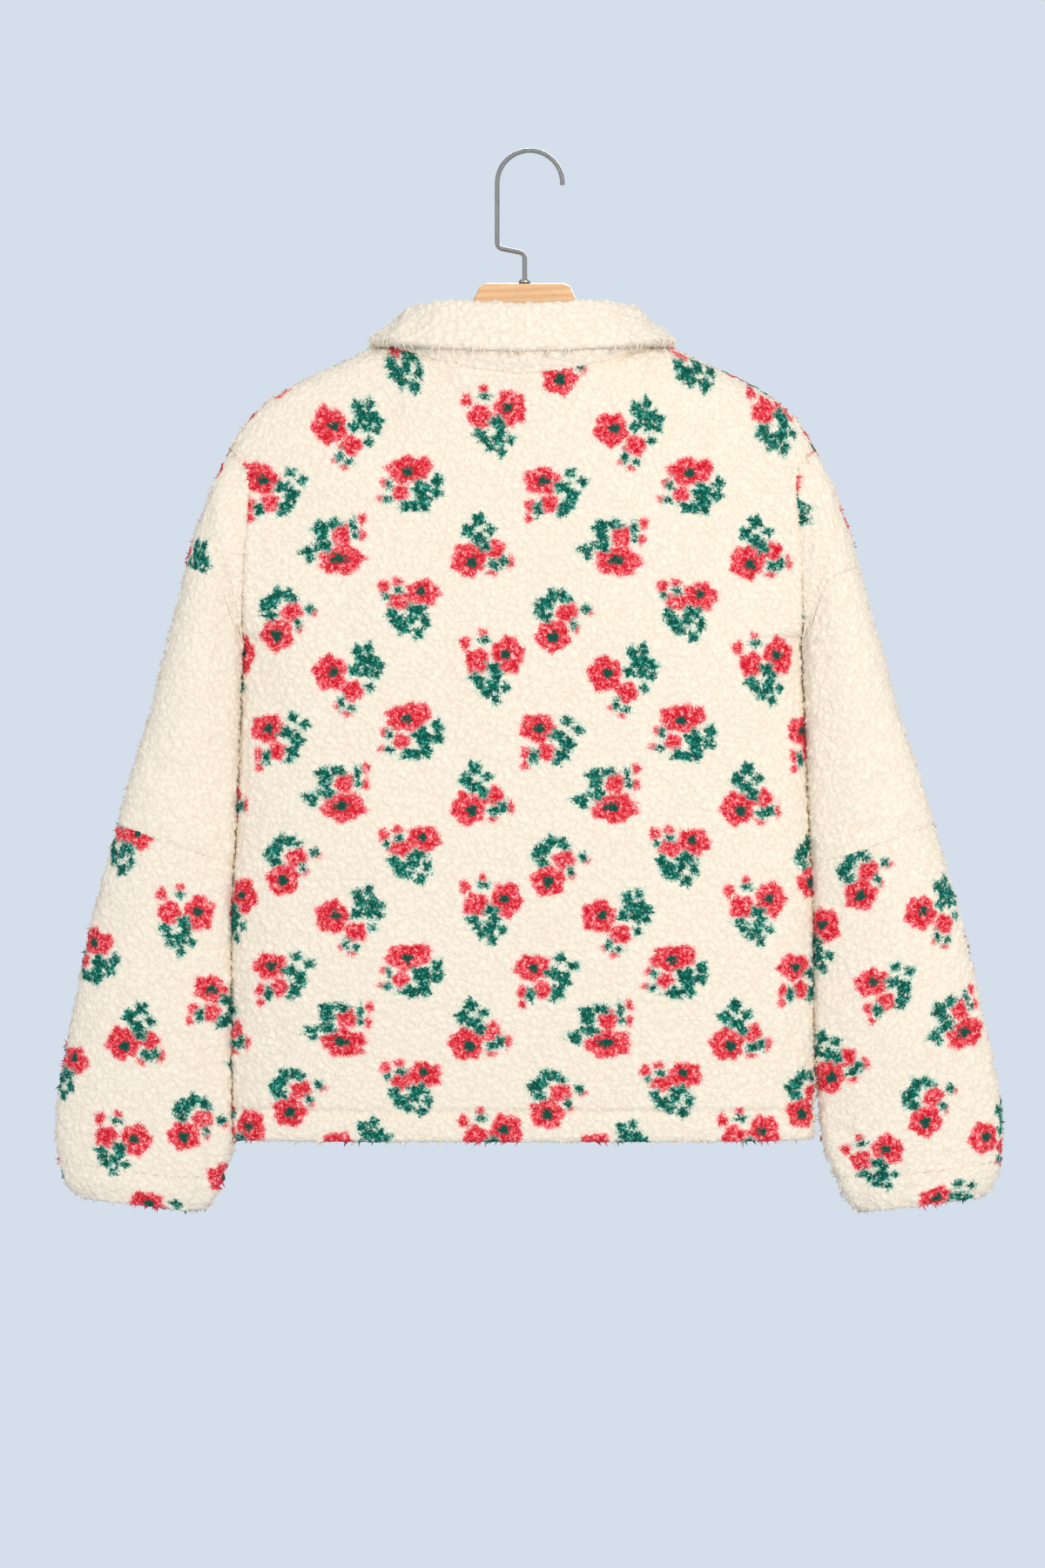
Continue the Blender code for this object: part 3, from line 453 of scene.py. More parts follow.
def body_columns():
    """Side and column of each line of points, from the left edge to the right edge."""
    left = [(LEFT, column) for column in range(BODY_COLUMNS, 0, -1)]
    right = [(RIGHT, column) for column in range(BODY_COLUMNS + 1)]
    return left + right


def panel_grids(face):
    """The outer and inner points of the back or the front."""
    levels = body_levels()
    columns = body_columns()
    outer = [[body_point(level, column, side, face) for side, column in columns] for level in levels]
    normals = grid_normals(outer, False, face)
    inner = []
    for r, level in enumerate(levels):
        cloth = read_table(BODY, "z", "cloth", level[2])
        line = []
        for c, (side, column) in enumerate(columns):
            inset = -normals[r][c]
            at_side = column == BODY_COLUMNS
            at_shoulder = r == 0 and column >= NECK_COLUMN
            if r == 0 and column < NECK_COLUMN:
                angle = NECK_ANGLES[column]
                inset = -neck_outwards(angle if face == BACK else 180 - angle)
                inset.x *= side
            if r == 0 and column == NECK_COLUMN:
                inset = Vector((0, 0, -1))
            if at_side and level[3] is not None:
                inset = armhole_inset(level[3], face, -side)
            if at_shoulder or (at_side and level[3] in (None, ARMHOLE_STEPS)):
                inset.y = 0
                outer[r][c].y = face * SEAM_GAP / 2
                inset.normalize()
            point = outer[r][c] + inset * cloth
            if not at_side and face * point.y < SEAM_CLEAR:
                point.y = face * SEAM_CLEAR
            line.append(point)
        inner.append(line)
    return outer, inner


def sleeve_ring(section, side):
    """The points round one section, from its outer edge over the back to its inner edge and round."""
    swing = SWING[side] * (SWING_FROM_Z - section.outer_z) / SWING_LENGTH
    swing = max(0.0, swing)
    tuck = smooth_step((TUCK_TOP_Z - section.outer_z) / TUCK_LENGTH)
    outer_x = section.outer_x + swing
    inner_x = section.inner_x + swing * tuck
    ring = []
    for step in range(2 * ARMHOLE_STEPS):
        angle = armhole_angle(step)
        share = (1 - math.cos(angle)) / 2
        x = outer_x + (inner_x - outer_x) * share
        straight = section.outer_z + (section.inner_z - section.outer_z) * share
        late = smooth_step(1 - abs(math.pi - angle) / DIP_REACH)
        fall = section.slope * (outer_x - x)
        end_fall = section.slope * (outer_x - inner_x)
        dipped = section.outer_z - fall + (section.inner_z - section.outer_z + end_fall) * late
        z = straight + (dipped - straight) * section.dip
        y = SLEEVE_MIDDLE_Y * smooth_step(section.dip)
        if 0 < step < ARMHOLE_STEPS:
            y -= section.depth * rounded(angle)
        elif step > ARMHOLE_STEPS:
            y += section.depth * rounded(angle)
        ring.append(Vector((MIDDLE_X + side * x, y, z)))
    return ring


def armhole_ring(side):
    """The points where a sleeve meets the body."""
    ring = []
    for step in range(2 * ARMHOLE_STEPS):
        face = BACK if step <= ARMHOLE_STEPS else FRONT
        x, half_depth, z = armhole_point(min(step, 2 * ARMHOLE_STEPS - step))
        y = face * half_depth if step % ARMHOLE_STEPS else 0.0
        ring.append(Vector((MIDDLE_X + side * (x + ARMHOLE_GAP_X), y, z)))
    return ring


def sleeve_grids(side):
    """All the rings of a sleeve, outer and inner."""
    outer = [armhole_ring(side)] + [sleeve_ring(section, side) for section in SLEEVE]
    normals = grid_normals(outer, True, side)
    inner = []
    for r, ring in enumerate(outer):
        cloth = CLOTH if r <= SLEEVE_PIECES[2][2] else CUFF_CLOTH
        line = []
        for step, point in enumerate(ring):
            inset = -normals[r][step]
            if r == 0:
                face = BACK if step <= ARMHOLE_STEPS else FRONT
                inset = armhole_inset(min(step, 2 * ARMHOLE_STEPS - step), face, side)
                if step % ARMHOLE_STEPS == 0:
                    inset.y = 0
            line.append(point + inset * cloth)
        inner.append(line)
    return outer, inner


def moved_towards(ring, other):
    """The ring moved by half a seam gap towards another."""
    return [point + (aim - point).normalized() * SEAM_GAP / 2 for point, aim in zip(ring, other)]


def collar_values(angle):
    """The collar's section at this angle, on a smooth curve through the table's rows."""
    angles = [section.angle for section in COLLAR]
    index = max(i for i in range(len(COLLAR) - 1) if angles[i] <= angle)
    before = COLLAR[max(index - 1, 0)]
    low = COLLAR[index]
    high = COLLAR[index + 1]
    after = COLLAR[min(index + 2, len(COLLAR) - 1)]
    share = (angle - low.angle) / (high.angle - low.angle)
    values = []
    for name in CollarSection._fields[1:]:
        p0, p1, p2, p3 = (getattr(row, name) for row in (before, low, high, after))
        bend = p1 + share * (p2 - p1)
        curve = (p1 - p0 - (p3 - p2)) * COLLAR_CURVE * share * (1 - share)
        values.append(bend + curve)
    return values


def neck_on_chords(angle):
    """A point of the neck seam on the straight lines between its points, as the panels are cut."""
    angles = NECK_ANGLES + tuple(180 - degrees for degrees in reversed(NECK_ANGLES[:-1]))
    index = max(i for i in range(len(angles) - 1) if angles[i] <= angle)
    share = (angle - angles[index]) / (angles[index + 1] - angles[index])
    return neck_point(angles[index]).lerp(neck_point(angles[index + 1]), share)


def collar_line(angle, side):
    """Points across the collar's underside and upper side: up the stand, over and down the fall."""
    rise, lean, out, drop, slant = collar_values(angle)
    base = neck_on_chords(angle)
    outwards = neck_outwards(angle)
    along = Vector((-outwards.y, outwards.x, 0))  # towards the front opening
    up = Vector((0, 0, 1))
    fold_radius = CLOTH + COLLAR_GAP / 2  # of the fold's upper face
    stand_foot = base + up * COLLAR_LIFT
    stand_top = base + outwards * lean + up * (rise - fold_radius)
    fall_end = stand_top + outwards * out - up * (drop - fold_radius) - along * slant
    stand_way = (stand_top - stand_foot).normalized()
    fall_way = (fall_end - stand_top).normalized()
    stand_out = (outwards - stand_way * outwards.dot(stand_way)).normalized()
    fall_out = (outwards - fall_way * outwards.dot(fall_way)).normalized()
    under = []
    upper = []
    for step in range(STAND_STEPS + 1):
        point = stand_foot.lerp(stand_top, step / STAND_STEPS)
        under.append(point)
        upper.append(point - (stand_out if step else outwards) * CLOTH)
    fold_middle = stand_top + stand_out * COLLAR_GAP / 2
    for step in range(1, FOLD_STEPS):
        turn = math.pi * step / FOLD_STEPS
        way = -stand_out * math.cos(turn) + stand_way * math.sin(turn)
        if step * 2 > FOLD_STEPS:
            way = fall_out * -math.cos(turn) - fall_way * math.sin(turn)
        under.append(fold_middle + way * COLLAR_GAP / 2)
        upper.append(fold_middle + way * fold_radius)
    fall_start = fold_middle + fall_out * COLLAR_GAP / 2
    for step in range(FALL_STEPS + 1):
        point = fall_start.lerp(fall_end, step / FALL_STEPS)
        under.append(point)
        upper.append(point + fall_out * CLOTH)
    middle = Vector((MIDDLE_X, 0, 0))
    flip = Vector((side, 1, 1))
    return [point * flip + middle for point in under], [point * flip + middle for point in upper]


def front_at(outer, x, z):
    """The front panel's face at this x and z, between its own points."""
    for row, next_row in zip(outer, outer[1:]):
        for c in range(len(row) - 1):
            left, right = row[c], row[c + 1]
            if not left.x <= x <= right.x:
                continue
            share = (x - left.x) / (right.x - left.x)
            upper = left.lerp(right, share)
            lower = next_row[c].lerp(next_row[c + 1], share)
            if lower.z <= z <= upper.z:
                return lower.lerp(upper, (z - lower.z) / (upper.z - lower.z)).y
    raise ValueError(f"no cloth of the front at {x:.3f}, {z:.3f}")


# ---------------------------------------------------------------- fine surfaces
def table_of(grid):
    """A grid of points as one array, rows by columns by 3."""
    return np.array([[tuple(point) for point in line] for line in grid])


def curve_weights(knots, places, lap=0.0):
    """Weights that carry values at the knots to the places along smooth curves.

    With a lap the curve is closed.
    """
    count = len(knots)

    def knot(index):
        if lap:
            return knots[index % count] + lap * (index // count)
        return knots[np.clip(index, 0, count - 1)]

    def column(index):
        return index % count if lap else np.clip(index, 0, count - 1)

    last = count - 1 if lap else count - 2
    low = np.clip(np.searchsorted(knots, places, side="right") - 1, 0, last)
    span = knot(low + 1) - knot(low)
    share = (places - knot(low)) / span
    lines = np.arange(len(places))
    weights = np.zeros((len(places), count))
    np.add.at(weights, (lines, column(low)), 2 * share**3 - 3 * share**2 + 1)
    np.add.at(weights, (lines, column(low + 1)), 3 * share**2 - 2 * share**3)
    leaving = (share**3 - 2 * share**2 + share) * span / (knot(low + 1) - knot(low - 1))
    arriving = (share**3 - share**2) * span / (knot(low + 2) - knot(low))
    np.add.at(weights, (lines, column(low + 1)), leaving)
    np.add.at(weights, (lines, column(low - 1)), -leaving)
    np.add.at(weights, (lines, column(low + 2)), arriving)
    np.add.at(weights, (lines, column(low)), -arriving)
    return weights


def finer_rows(grid, spacing, closed):
    """The grid with rows about spacing apart, on smooth curves through its own rows."""
    following = np.roll(grid, -1, axis=0) if closed else grid[1:]
    steps = np.linalg.norm(following - grid[: len(following)], axis=2).mean(axis=1)
    knots = np.concatenate([[0.0], np.cumsum(steps)])
    length = knots[-1]
    count = max(2, round(length / spacing))
    if closed:
        places = np.arange(count) * length / count
        return np.einsum("rk,kcx->rcx", curve_weights(knots[:-1], places, length), grid)
    places = np.linspace(0, length, count + 1)
    return np.einsum("rk,kcx->rcx", curve_weights(knots, places), grid)


def finer(grid, spacing, wraps):
    """The grid with points about spacing apart both ways."""
    tall = finer_rows(grid, spacing, False)
    return finer_rows(tall.transpose(1, 0, 2), spacing, wraps).transpose(1, 0, 2)


def along_axis(grid, axis, closed):
    """Half the way between each point's two neighbours along an axis."""
    if closed:
        return (np.roll(grid, -1, axis) - np.roll(grid, 1, axis)) / 2
    return np.gradient(grid, axis=axis)


def travelled(steps):
    """How far along its row each point lies, from the lengths of the steps between the points."""
    return np.concatenate([np.zeros((len(steps), 1)), np.cumsum(steps, axis=1)], axis=1)


def surface_normals(grid, wraps, outward):
    """Unit normals of a fine grid."""
    across = along_axis(grid, 1, wraps)
    down = along_axis(grid, 0, False)
    normals = np.cross(across, down) * outward
    return normals / np.maximum(np.linalg.norm(normals, axis=2, keepdims=True), 1e-9)


# ---------------------------------------------------------------- curly pile
FAR = 9.0  # further than any distance that is looked for
CELL_MIXERS = (73856093, 19349663, 83492791)  # large odd numbers that spread neighbouring cells
SALT_MIXER = 40503
TURN_MIXERS = (1274126177, 668265263)


def scramble(cells, salt):
    """A number from 0 to 1 for each whole-numbered cell, the same each time."""
    mixed = cells[..., 0] * CELL_MIXERS[0] ^ cells[..., 1] * CELL_MIXERS[1] ^ cells[..., 2] * CELL_MIXERS[2]
    mixed = (mixed ^ salt * SALT_MIXER) * TURN_MIXERS[0]
    mixed = (mixed ^ mixed >> 15) * TURN_MIXERS[1]
    mixed = mixed ^ mixed >> 13
    return (mixed & 0xFFFFFF) / 0xFFFFFF


def soft_noise(points, size, salt):
    """Smooth noise from -1 to 1 with features of this size."""
    scaled = points / size
    base = np.floor(scaled).astype(np.int64)
    share = scaled - base
    share = share * share * (3 - 2 * share)
    total = np.zeros(points.shape[:-1])
    for corner in itertools.product((0, 1), repeat=3):
        step = np.array(corner)
        weight = np.prod(np.where(step == 1, share, 1 - share), axis=-1)
        total += weight * scramble(base + step, salt)
    return total * 2 - 1


def clump_cells(points, size, salt):
    """Distances to the nearest and second clump middle, in clump sizes, and a number for each clump."""
    scaled = points / size
    base = np.floor(scaled).astype(np.int64)
    nearest = np.full(points.shape[:-1], FAR)
    second = np.full(points.shape[:-1], FAR)
    tone = np.zeros(points.shape[:-1])
    for step in itertools.product((-1, 0, 1), repeat=3):
        cell = base + np.array(step)
        jitter = np.stack([scramble(cell, salt + axis) for axis in range(3)], axis=-1)
        far = np.linalg.norm(scaled - cell - jitter, axis=-1)
        closer = far < nearest
        second = np.where(closer, nearest, np.minimum(second, far))
        tone = np.where(closer, scramble(cell, salt + 5), tone)
        nearest = np.where(closer, far, nearest)
    return nearest, second, tone


def smooth_steps(values, low, high):
    """0 up to low and 1 from high, with a soft rise between."""
    share = np.clip((values - low) / (high - low), 0, 1)
    return share * share * (3 - 2 * share)


def curly_pile(points, size):
    """Height of the curls over the knit, from 0 in the parting lines to 1."""
    warp = np.stack([soft_noise(points, size * WARP_SIZE, salt) for salt in (11, 12, 13)], axis=-1)
    bent = points + warp * size * WARP_SHARE
    nearest, second, tone = clump_cells(bent, size, 21)
    parting = smooth_steps(second - nearest, 0.02, PARTING_WIDTH)
    dome = np.clip(1.15 - nearest, 0, 1)
    curls = 0.5 + 0.5 * soft_noise(bent, size * CURL_SIZE, 31)
    return parting * (DOME_SHARE * dome + TONE_SHARE * tone + CURL_SHARE * curls)


def folded(points, folds):
    """How far soft folds lift (above 0) or sink the cloth. Each fold is a line in the XZ plane."""
    lift = np.zeros(points.shape[:-1])
    for fold in folds:
        start = np.array((fold.start_x, fold.start_z))
        way = np.array((fold.end_x, fold.end_z)) - start
        flat = points[..., (0, 2)] - start
        share = (flat @ way) / (way @ way)
        bow = fold.bow * 4 * share * (1 - share)
        side = (flat @ np.array((-way[1], way[0]))) / np.linalg.norm(way) - bow
        taper = smooth_steps(share, -0.15, 0.3) * smooth_steps(1 - share, -0.15, 0.3)
        lift += fold.height * taper * np.exp(-((side / fold.width) ** 2))
    return lift


# ---------------------------------------------------------------- meshes
def zipped(first, second):
    """Triangles between two lines of numbered points that run side by side.

    Each line is a list of (place, number).
    """
    faces = []
    i = 0
    j = 0
    while i < len(first) - 1 or j < len(second) - 1:
        next_first = first[i + 1][0] if i < len(first) - 1 else math.inf
        next_second = second[j + 1][0] if j < len(second) - 1 else math.inf
        if next_first <= next_second:
            faces.append((first[i][1], first[i + 1][1], second[j][1]))
            i += 1
        else:
            faces.append((first[i][1], second[j + 1][1], second[j][1]))
            j += 1
    return faces


def placed(numbers):
    """Numbered points with their places along one side, from 0 to 1."""
    return list(zip(np.linspace(0, 1, len(numbers)).tolist(), numbers.tolist()))


def rim_lines(numbers, wraps):
    """The open edges of a grid of point numbers as lines with places."""
    sides = (numbers[0], numbers[:, -1], numbers[-1][::-1], numbers[::-1, 0])
    if wraps:
        sides = [np.append(ring, ring[0]) for ring in (numbers[0], numbers[-1])]
    return [placed(side) for side in sides]


def grid_faces(numbers, wraps):
    """Four-sided faces of a grid of point numbers."""
    if wraps:
        numbers = np.concatenate([numbers, numbers[:, :1]], axis=1)
    corners = (numbers[:-1, :-1], numbers[:-1, 1:], numbers[1:, 1:], numbers[1:, :-1])
    return np.stack([corner.ravel() for corner in corners], axis=1)


def finished_object(mesh):
    """An object of the mesh, with its faces turned outwards and shaded smooth."""
    builder = bmesh.new()
    builder.from_mesh(mesh)
    bmesh.ops.recalc_face_normals(builder, faces=builder.faces)
    builder.to_mesh(mesh)
    builder.free()
    mesh.shade_smooth()
    made = bpy.data.objects.new(mesh.name, mesh)
    bpy.context.scene.collection.objects.link(made)
    return made


def cloth_object(name, outer, inner, wraps, values, materials, inner_values=None):
    """A closed wall with a fine outer face, an inner face and a rim between them."""
    outer_count = outer.shape[0] * outer.shape[1]
    outer_numbers = np.arange(outer_count).reshape(outer.shape[:2])
    inner_count = inner.shape[0] * inner.shape[1]
    inner_numbers = outer_count + np.arange(inner_count).reshape(inner.shape[:2])
    faces = grid_faces(outer_numbers, wraps).tolist()
    for first, second in zip(rim_lines(outer_numbers, wraps), rim_lines(inner_numbers, wraps)):
        faces += zipped(first, second)
    rim_faces = len(faces)
    faces += grid_faces(inner_numbers, wraps).tolist()
    mesh = bpy.data.meshes.new(name)
    points = np.concatenate([outer.reshape(-1, 3), inner.reshape(-1, 3)])
    mesh.from_pydata(points.tolist(), [], faces)
    for material in materials:
        mesh.materials.append(material)
    slots = np.zeros(len(faces), np.int32)
    slots[rim_faces:] = len(materials) - 1
    mesh.polygons.foreach_set("material_index", slots)
    for key, grid in values.items():
        layer = mesh.attributes.new(key, "FLOAT", "POINT")
        filled = np.full(len(points), REST_VALUES[key], np.float32)
        filled[:outer_count] = grid.ravel()
        if inner_values and key in inner_values:
            filled[outer_count:] = inner_values[key].ravel()
        layer.data.foreach_set("value", filled)
    return finished_object(mesh)


# ---------------------------------------------------------------- flower print
# The repeat holds eight bouquets in four staggered rows. Each is charted in whole millimetres from
# its middle: x to the right, z up, and the mark's half width and half height.
FLOWER = "flower"
BLOOM = "bloom"
BUD = "bud"
LEAF = "leaf"
HEART = "heart"
Mark = namedtuple("Mark", "part x z wide high")
BOUQUETS = {
    "A": (
        Mark(FLOWER, -15, 3, 15, 15),
        Mark(HEART, -12, 4, 5, 4),
        Mark(BLOOM, 5, -12, 10, 9),
        Mark(BUD, -8, -25, 3, 3),
        Mark(BUD, 1, -31, 4, 3),
        Mark(LEAF, 8, 22, 5, 5),
        Mark(LEAF, 18, 25, 4, 5),
        Mark(LEAF, 12, 14, 6, 6),
        Mark(LEAF, 21, 14, 6, 6),
        Mark(LEAF, 27, 11, 5, 4),
        Mark(LEAF, 6, 5, 5, 5),
        Mark(LEAF, 18, 5, 6, 5),
        Mark(LEAF, 26, 3, 4, 4),
        Mark(LEAF, 20, -8, 4, 4),
        Mark(LEAF, -4, -22, 3, 5),
        Mark(LEAF, 5, -26, 4, 3),
    ),
    "B": (
        Mark(FLOWER, 12, 8, 14, 16),
        Mark(HEART, 10, 9, 5, 4),
        Mark(BLOOM, -14, 2, 11, 11),
        Mark(BUD, -25, 17, 5, 6),
        Mark(BUD, -10, 26, 4, 4),
        Mark(LEAF, -9, 20, 5, 3),
        Mark(LEAF, 0, -3, 6, 5),
        Mark(LEAF, 3, -10, 5, 5),
        Mark(LEAF, -15, -12, 6, 4),
        Mark(LEAF, -11, -18, 5, 4),
        Mark(LEAF, 0, -18, 6, 6),
        Mark(LEAF, -6, -24, 5, 4),
        Mark(LEAF, 11, -19, 4, 4),
        Mark(LEAF, 3, -29, 4, 5),
    ),
    "C": (
        Mark(FLOWER, -3, 10, 19, 12),
        Mark(FLOWER, 10, 14, 8, 8),
        Mark(HEART, -3, 9, 5, 4),
        Mark(BLOOM, -9, -10, 8, 7),
        Mark(BUD, -23, -1, 4, 4),
        Mark(BUD, -26, -15, 4, 3),
        Mark(LEAF, -19, -3, 3, 4),
        Mark(LEAF, -20, -16, 4, 3),
        Mark(LEAF, 9, -6, 8, 7),
        Mark(LEAF, 11, -15, 6, 8),
        Mark(LEAF, 0, -21, 10, 5),
        Mark(LEAF, 13, -21, 4, 5),
        Mark(LEAF, 23, 1, 5, 6),
        Mark(LEAF, 22, -9, 6, 5),
    ),
    "D": (
        Mark(FLOWER, -11, 9, 16, 12),
        Mark(HEART, -10, 9, 5, 4),
        Mark(BLOOM, -3, -11, 9, 8),
        Mark(BUD, -20, -13, 5, 6),
        Mark(BUD, -20, -24, 4, 4),
        Mark(LEAF, -13, -16, 4, 6),
        Mark(LEAF, 7, 4, 7, 5),
        Mark(LEAF, 16, -3, 6, 7),
        Mark(LEAF, 11, -13, 6, 6),
        Mark(LEAF, 7, -19, 4, 3),
        Mark(LEAF, 13, 17, 5, 4),
        Mark(LEAF, 24, 10, 5, 4),
    ),
    "E": (
        Mark(FLOWER, 5, -13, 20, 13),
        Mark(HEART, 3, -12, 7, 4),
        Mark(BLOOM, 6, 9, 9, 10),
        Mark(BUD, 25, 21, 4, 5),
        Mark(BUD, 24, 7, 4, 5),
        Mark(LEAF, 17, 16, 3, 6),
        Mark(LEAF, 18, 7, 3, 3),
        Mark(LEAF, -12, 16, 7, 6),
        Mark(LEAF, 0, 19, 7, 4),
        Mark(LEAF, -11, 9, 6, 5),
        Mark(LEAF, -9, 0, 6, 5),
        Mark(LEAF, -24, -4, 7, 4),
        Mark(LEAF, -22, -9, 4, 4),
        Mark(LEAF, -16, 0, 4, 3),
    ),
    "F": (
        Mark(FLOWER, -11, -11, 15, 15),
        Mark(HEART, -8, -13, 5, 5),
        Mark(BLOOM, 12, -1, 8, 9),
        Mark(BLOOM, 1, -4, 7, 5),
        Mark(BUD, 25, -11, 4, 6),
        Mark(BUD, 10, -21, 5, 3),
        Mark(LEAF, 12, -14, 6, 4),
        Mark(LEAF, 19, -11, 4, 5),
        Mark(LEAF, -5, 24, 6, 6),
        Mark(LEAF, -13, 14, 6, 6),
        Mark(LEAF, 6, 16, 5, 4),
        Mark(LEAF, -4, 8, 7, 5),
        Mark(LEAF, 2, 2, 5, 5),
    ),
    "G": (
        Mark(FLOWER, -4, -16, 15, 14),
        Mark(HEART, -4, -17, 5, 5),
        Mark(BLOOM, 8, 3, 10, 8),
        Mark(BLOOM, 11, 9, 4, 4),
        Mark(BUD, 27, 4, 4, 3),
        Mark(BUD, 16, -10, 3, 4),
        Mark(LEAF, 24, 7, 4, 4),
        Mark(LEAF, 14, -6, 3, 4),
        Mark(LEAF, -10, 11, 6, 6),
        Mark(LEAF, -5, 18, 5, 6),
        Mark(LEAF, 4, 18, 5, 5),
        Mark(LEAF, 9, 15, 4, 3),
        Mark(LEAF, -16, 7, 5, 6),
        Mark(LEAF, -11, 0, 6, 4),
    ),
    "K": (
        Mark(FLOWER, 13, 9, 15, 12),
        Mark(HEART, 12, 11, 4, 4),
        Mark(BLOOM, -7, 3, 11, 8),
        Mark(BUD, -21, 15, 5, 6),
        Mark(BUD, -9, 19, 5, 4),
        Mark(LEAF, -8, 12, 4, 3),
        Mark(LEAF, -19, 7, 3, 3),
        Mark(LEAF, -14, -8, 5, 5),
        Mark(LEAF, -8, -15, 7, 6),
        Mark(LEAF, -3, -21, 6, 4),
        Mark(LEAF, 7, -5, 8, 5),
        Mark(LEAF, 3, -12, 5, 5),
        Mark(LEAF, 15, -15, 4, 6),
        Mark(LEAF, 9, -25, 5, 5),
    ),
}
BouquetPlace = namedtuple("BouquetPlace", "kind x z")  # millimetres from the repeat's first bouquet
REPEAT = (
    BouquetPlace("A", 0, 0),
    BouquetPlace("B", 131, 11),
    BouquetPlace("C", 57, -44),
    BouquetPlace("D", 182, -52),
    BouquetPlace("E", -10, -99),
    BouquetPlace("F", 120, -101),
    BouquetPlace("G", 188, -160),
    BouquetPlace("K", 55, -150),
)
REPEAT_WIDE = 0.2455
REPEAT_HIGH = 0.2113
MARK_REACH = 0.042  # no mark lies further than this from its bouquet's middle
MARK_LIMIT = 0.008  # distances into and out of a mark are kept within this
# How ragged each part's outline is: number and height of its larger and smaller lobes.
Lobes = namedtuple("Lobes", "large large_height small small_height")
LOBES = {
    FLOWER: Lobes(5, 0.08, 9, 0.06),
    BLOOM: Lobes(4, 0.10, 7, 0.07),
    BUD: Lobes(3, 0.12, 5, 0.06),
    LEAF: Lobes(4, 0.20, 7, 0.12),
    HEART: Lobes(3, 0.12, 5, 0.10),
}
MARK_PHASE = 1.7  # how far the lobes turn from one mark to the next, in radians
BOUQUET_SWAY = math.radians(4)  # how far a bouquet leans off the repeat at most

PrintLay = namedtuple("PrintLay", "x z turn scale narrowing")
# Where the first bouquet of the repeat lies on each cut piece, how the piece is turned, its print's
# scale, and how quickly the print narrows downwards, in shares for each metre.
PRINT_LAYS = {
    "back_panel": PrintLay(-0.1596, -0.2458, -0.3, 0.995, 0.139),
    "front_panel": PrintLay(-0.1100, -0.2700, 0, 1.0, 0.10),
    "sleeve_top_left": PrintLay(-0.2020, -0.1735, -24, 0.96, 0),
    "sleeve_top_right": PrintLay(0.1000, -0.1855, 22, 0.99, 0),
    "sleeve_lower_left": PrintLay(-0.4050, -0.6405, -17, 0.97, 0),
    "sleeve_lower_right": PrintLay(0.3424, -0.6616, 17, 0.97, 0),
}

Hang = namedtuple("Hang", "z right up")
# How far the print drifts where the cloth hangs unevenly, from the hem up.
HANGS = (
    Hang(-0.860, -0.0010, -0.0085),
    Hang(-0.775, 0.0018, -0.0040),
    Hang(-0.645, -0.0002, 0.0020),
    Hang(-0.516, -0.0015, 0.0038),
    Hang(-0.387, -0.0015, 0.0000),
    Hang(-0.258, -0.0040, 0.0000),
)

# How far the elastic draws the print up: depth below the hook, and the drift there.
CUFF_DRIFT = ((0.860, 0.885, 0.910), (0.0, 0.005, 0.010))
# How far the print lies out over the shoulder's tip: depth below the hook, and each side's drift there.
TIP_DEPTHS = (0.265, 0.335)
TIP_DRIFT = {LEFT: 0.027, RIGHT: 0.002}
PLAIN_BELOW = -0.372  # the sleeve top's corner under the arm is plain
PLAIN_INSIDE = -0.263  # and so is the left one beside the armhole
PLAIN_EDGE = 0.003  # half the width over which the print ends
# The print lies higher near the shoulder lines and beside the middle of the neck than the chart: the
# drift at the panel's upper edge, and how far it reaches.
SHOULDER_DRIFT = 0.0115
SHOULDER_SPREAD = 0.7  # how much of it the print also moves outwards
SHOULDER_REACH = 0.046
SHOULDER_SPAN = (0.045, 0.085)  # across, from the middle
NECK_DRIFT = 0.0105
NECK_REACH = (0.024, 0.044)
NECK_SPAN = (0.004, 0.009, 0.060, 0.068)  # across, from the middle


def mark_distance(mark, right, up, phase):
    """How far points lie inside a mark's ragged outline. It is below 0 outside."""
    wide = mark.wide / 1000
    high = mark.high / 1000
    across = right - mark.x / 1000
    rise = up - mark.z / 1000
    angle = np.arctan2(rise / high, across / wide)
    lobes = LOBES[mark.part]
    outline = 1 + lobes.large_height * np.cos(lobes.large * angle + phase)
    outline = outline + lobes.small_height * np.cos(lobes.small * angle - 2 * phase)
    return (outline - np.hypot(across / wide, rise / high)) * min(wide, high)


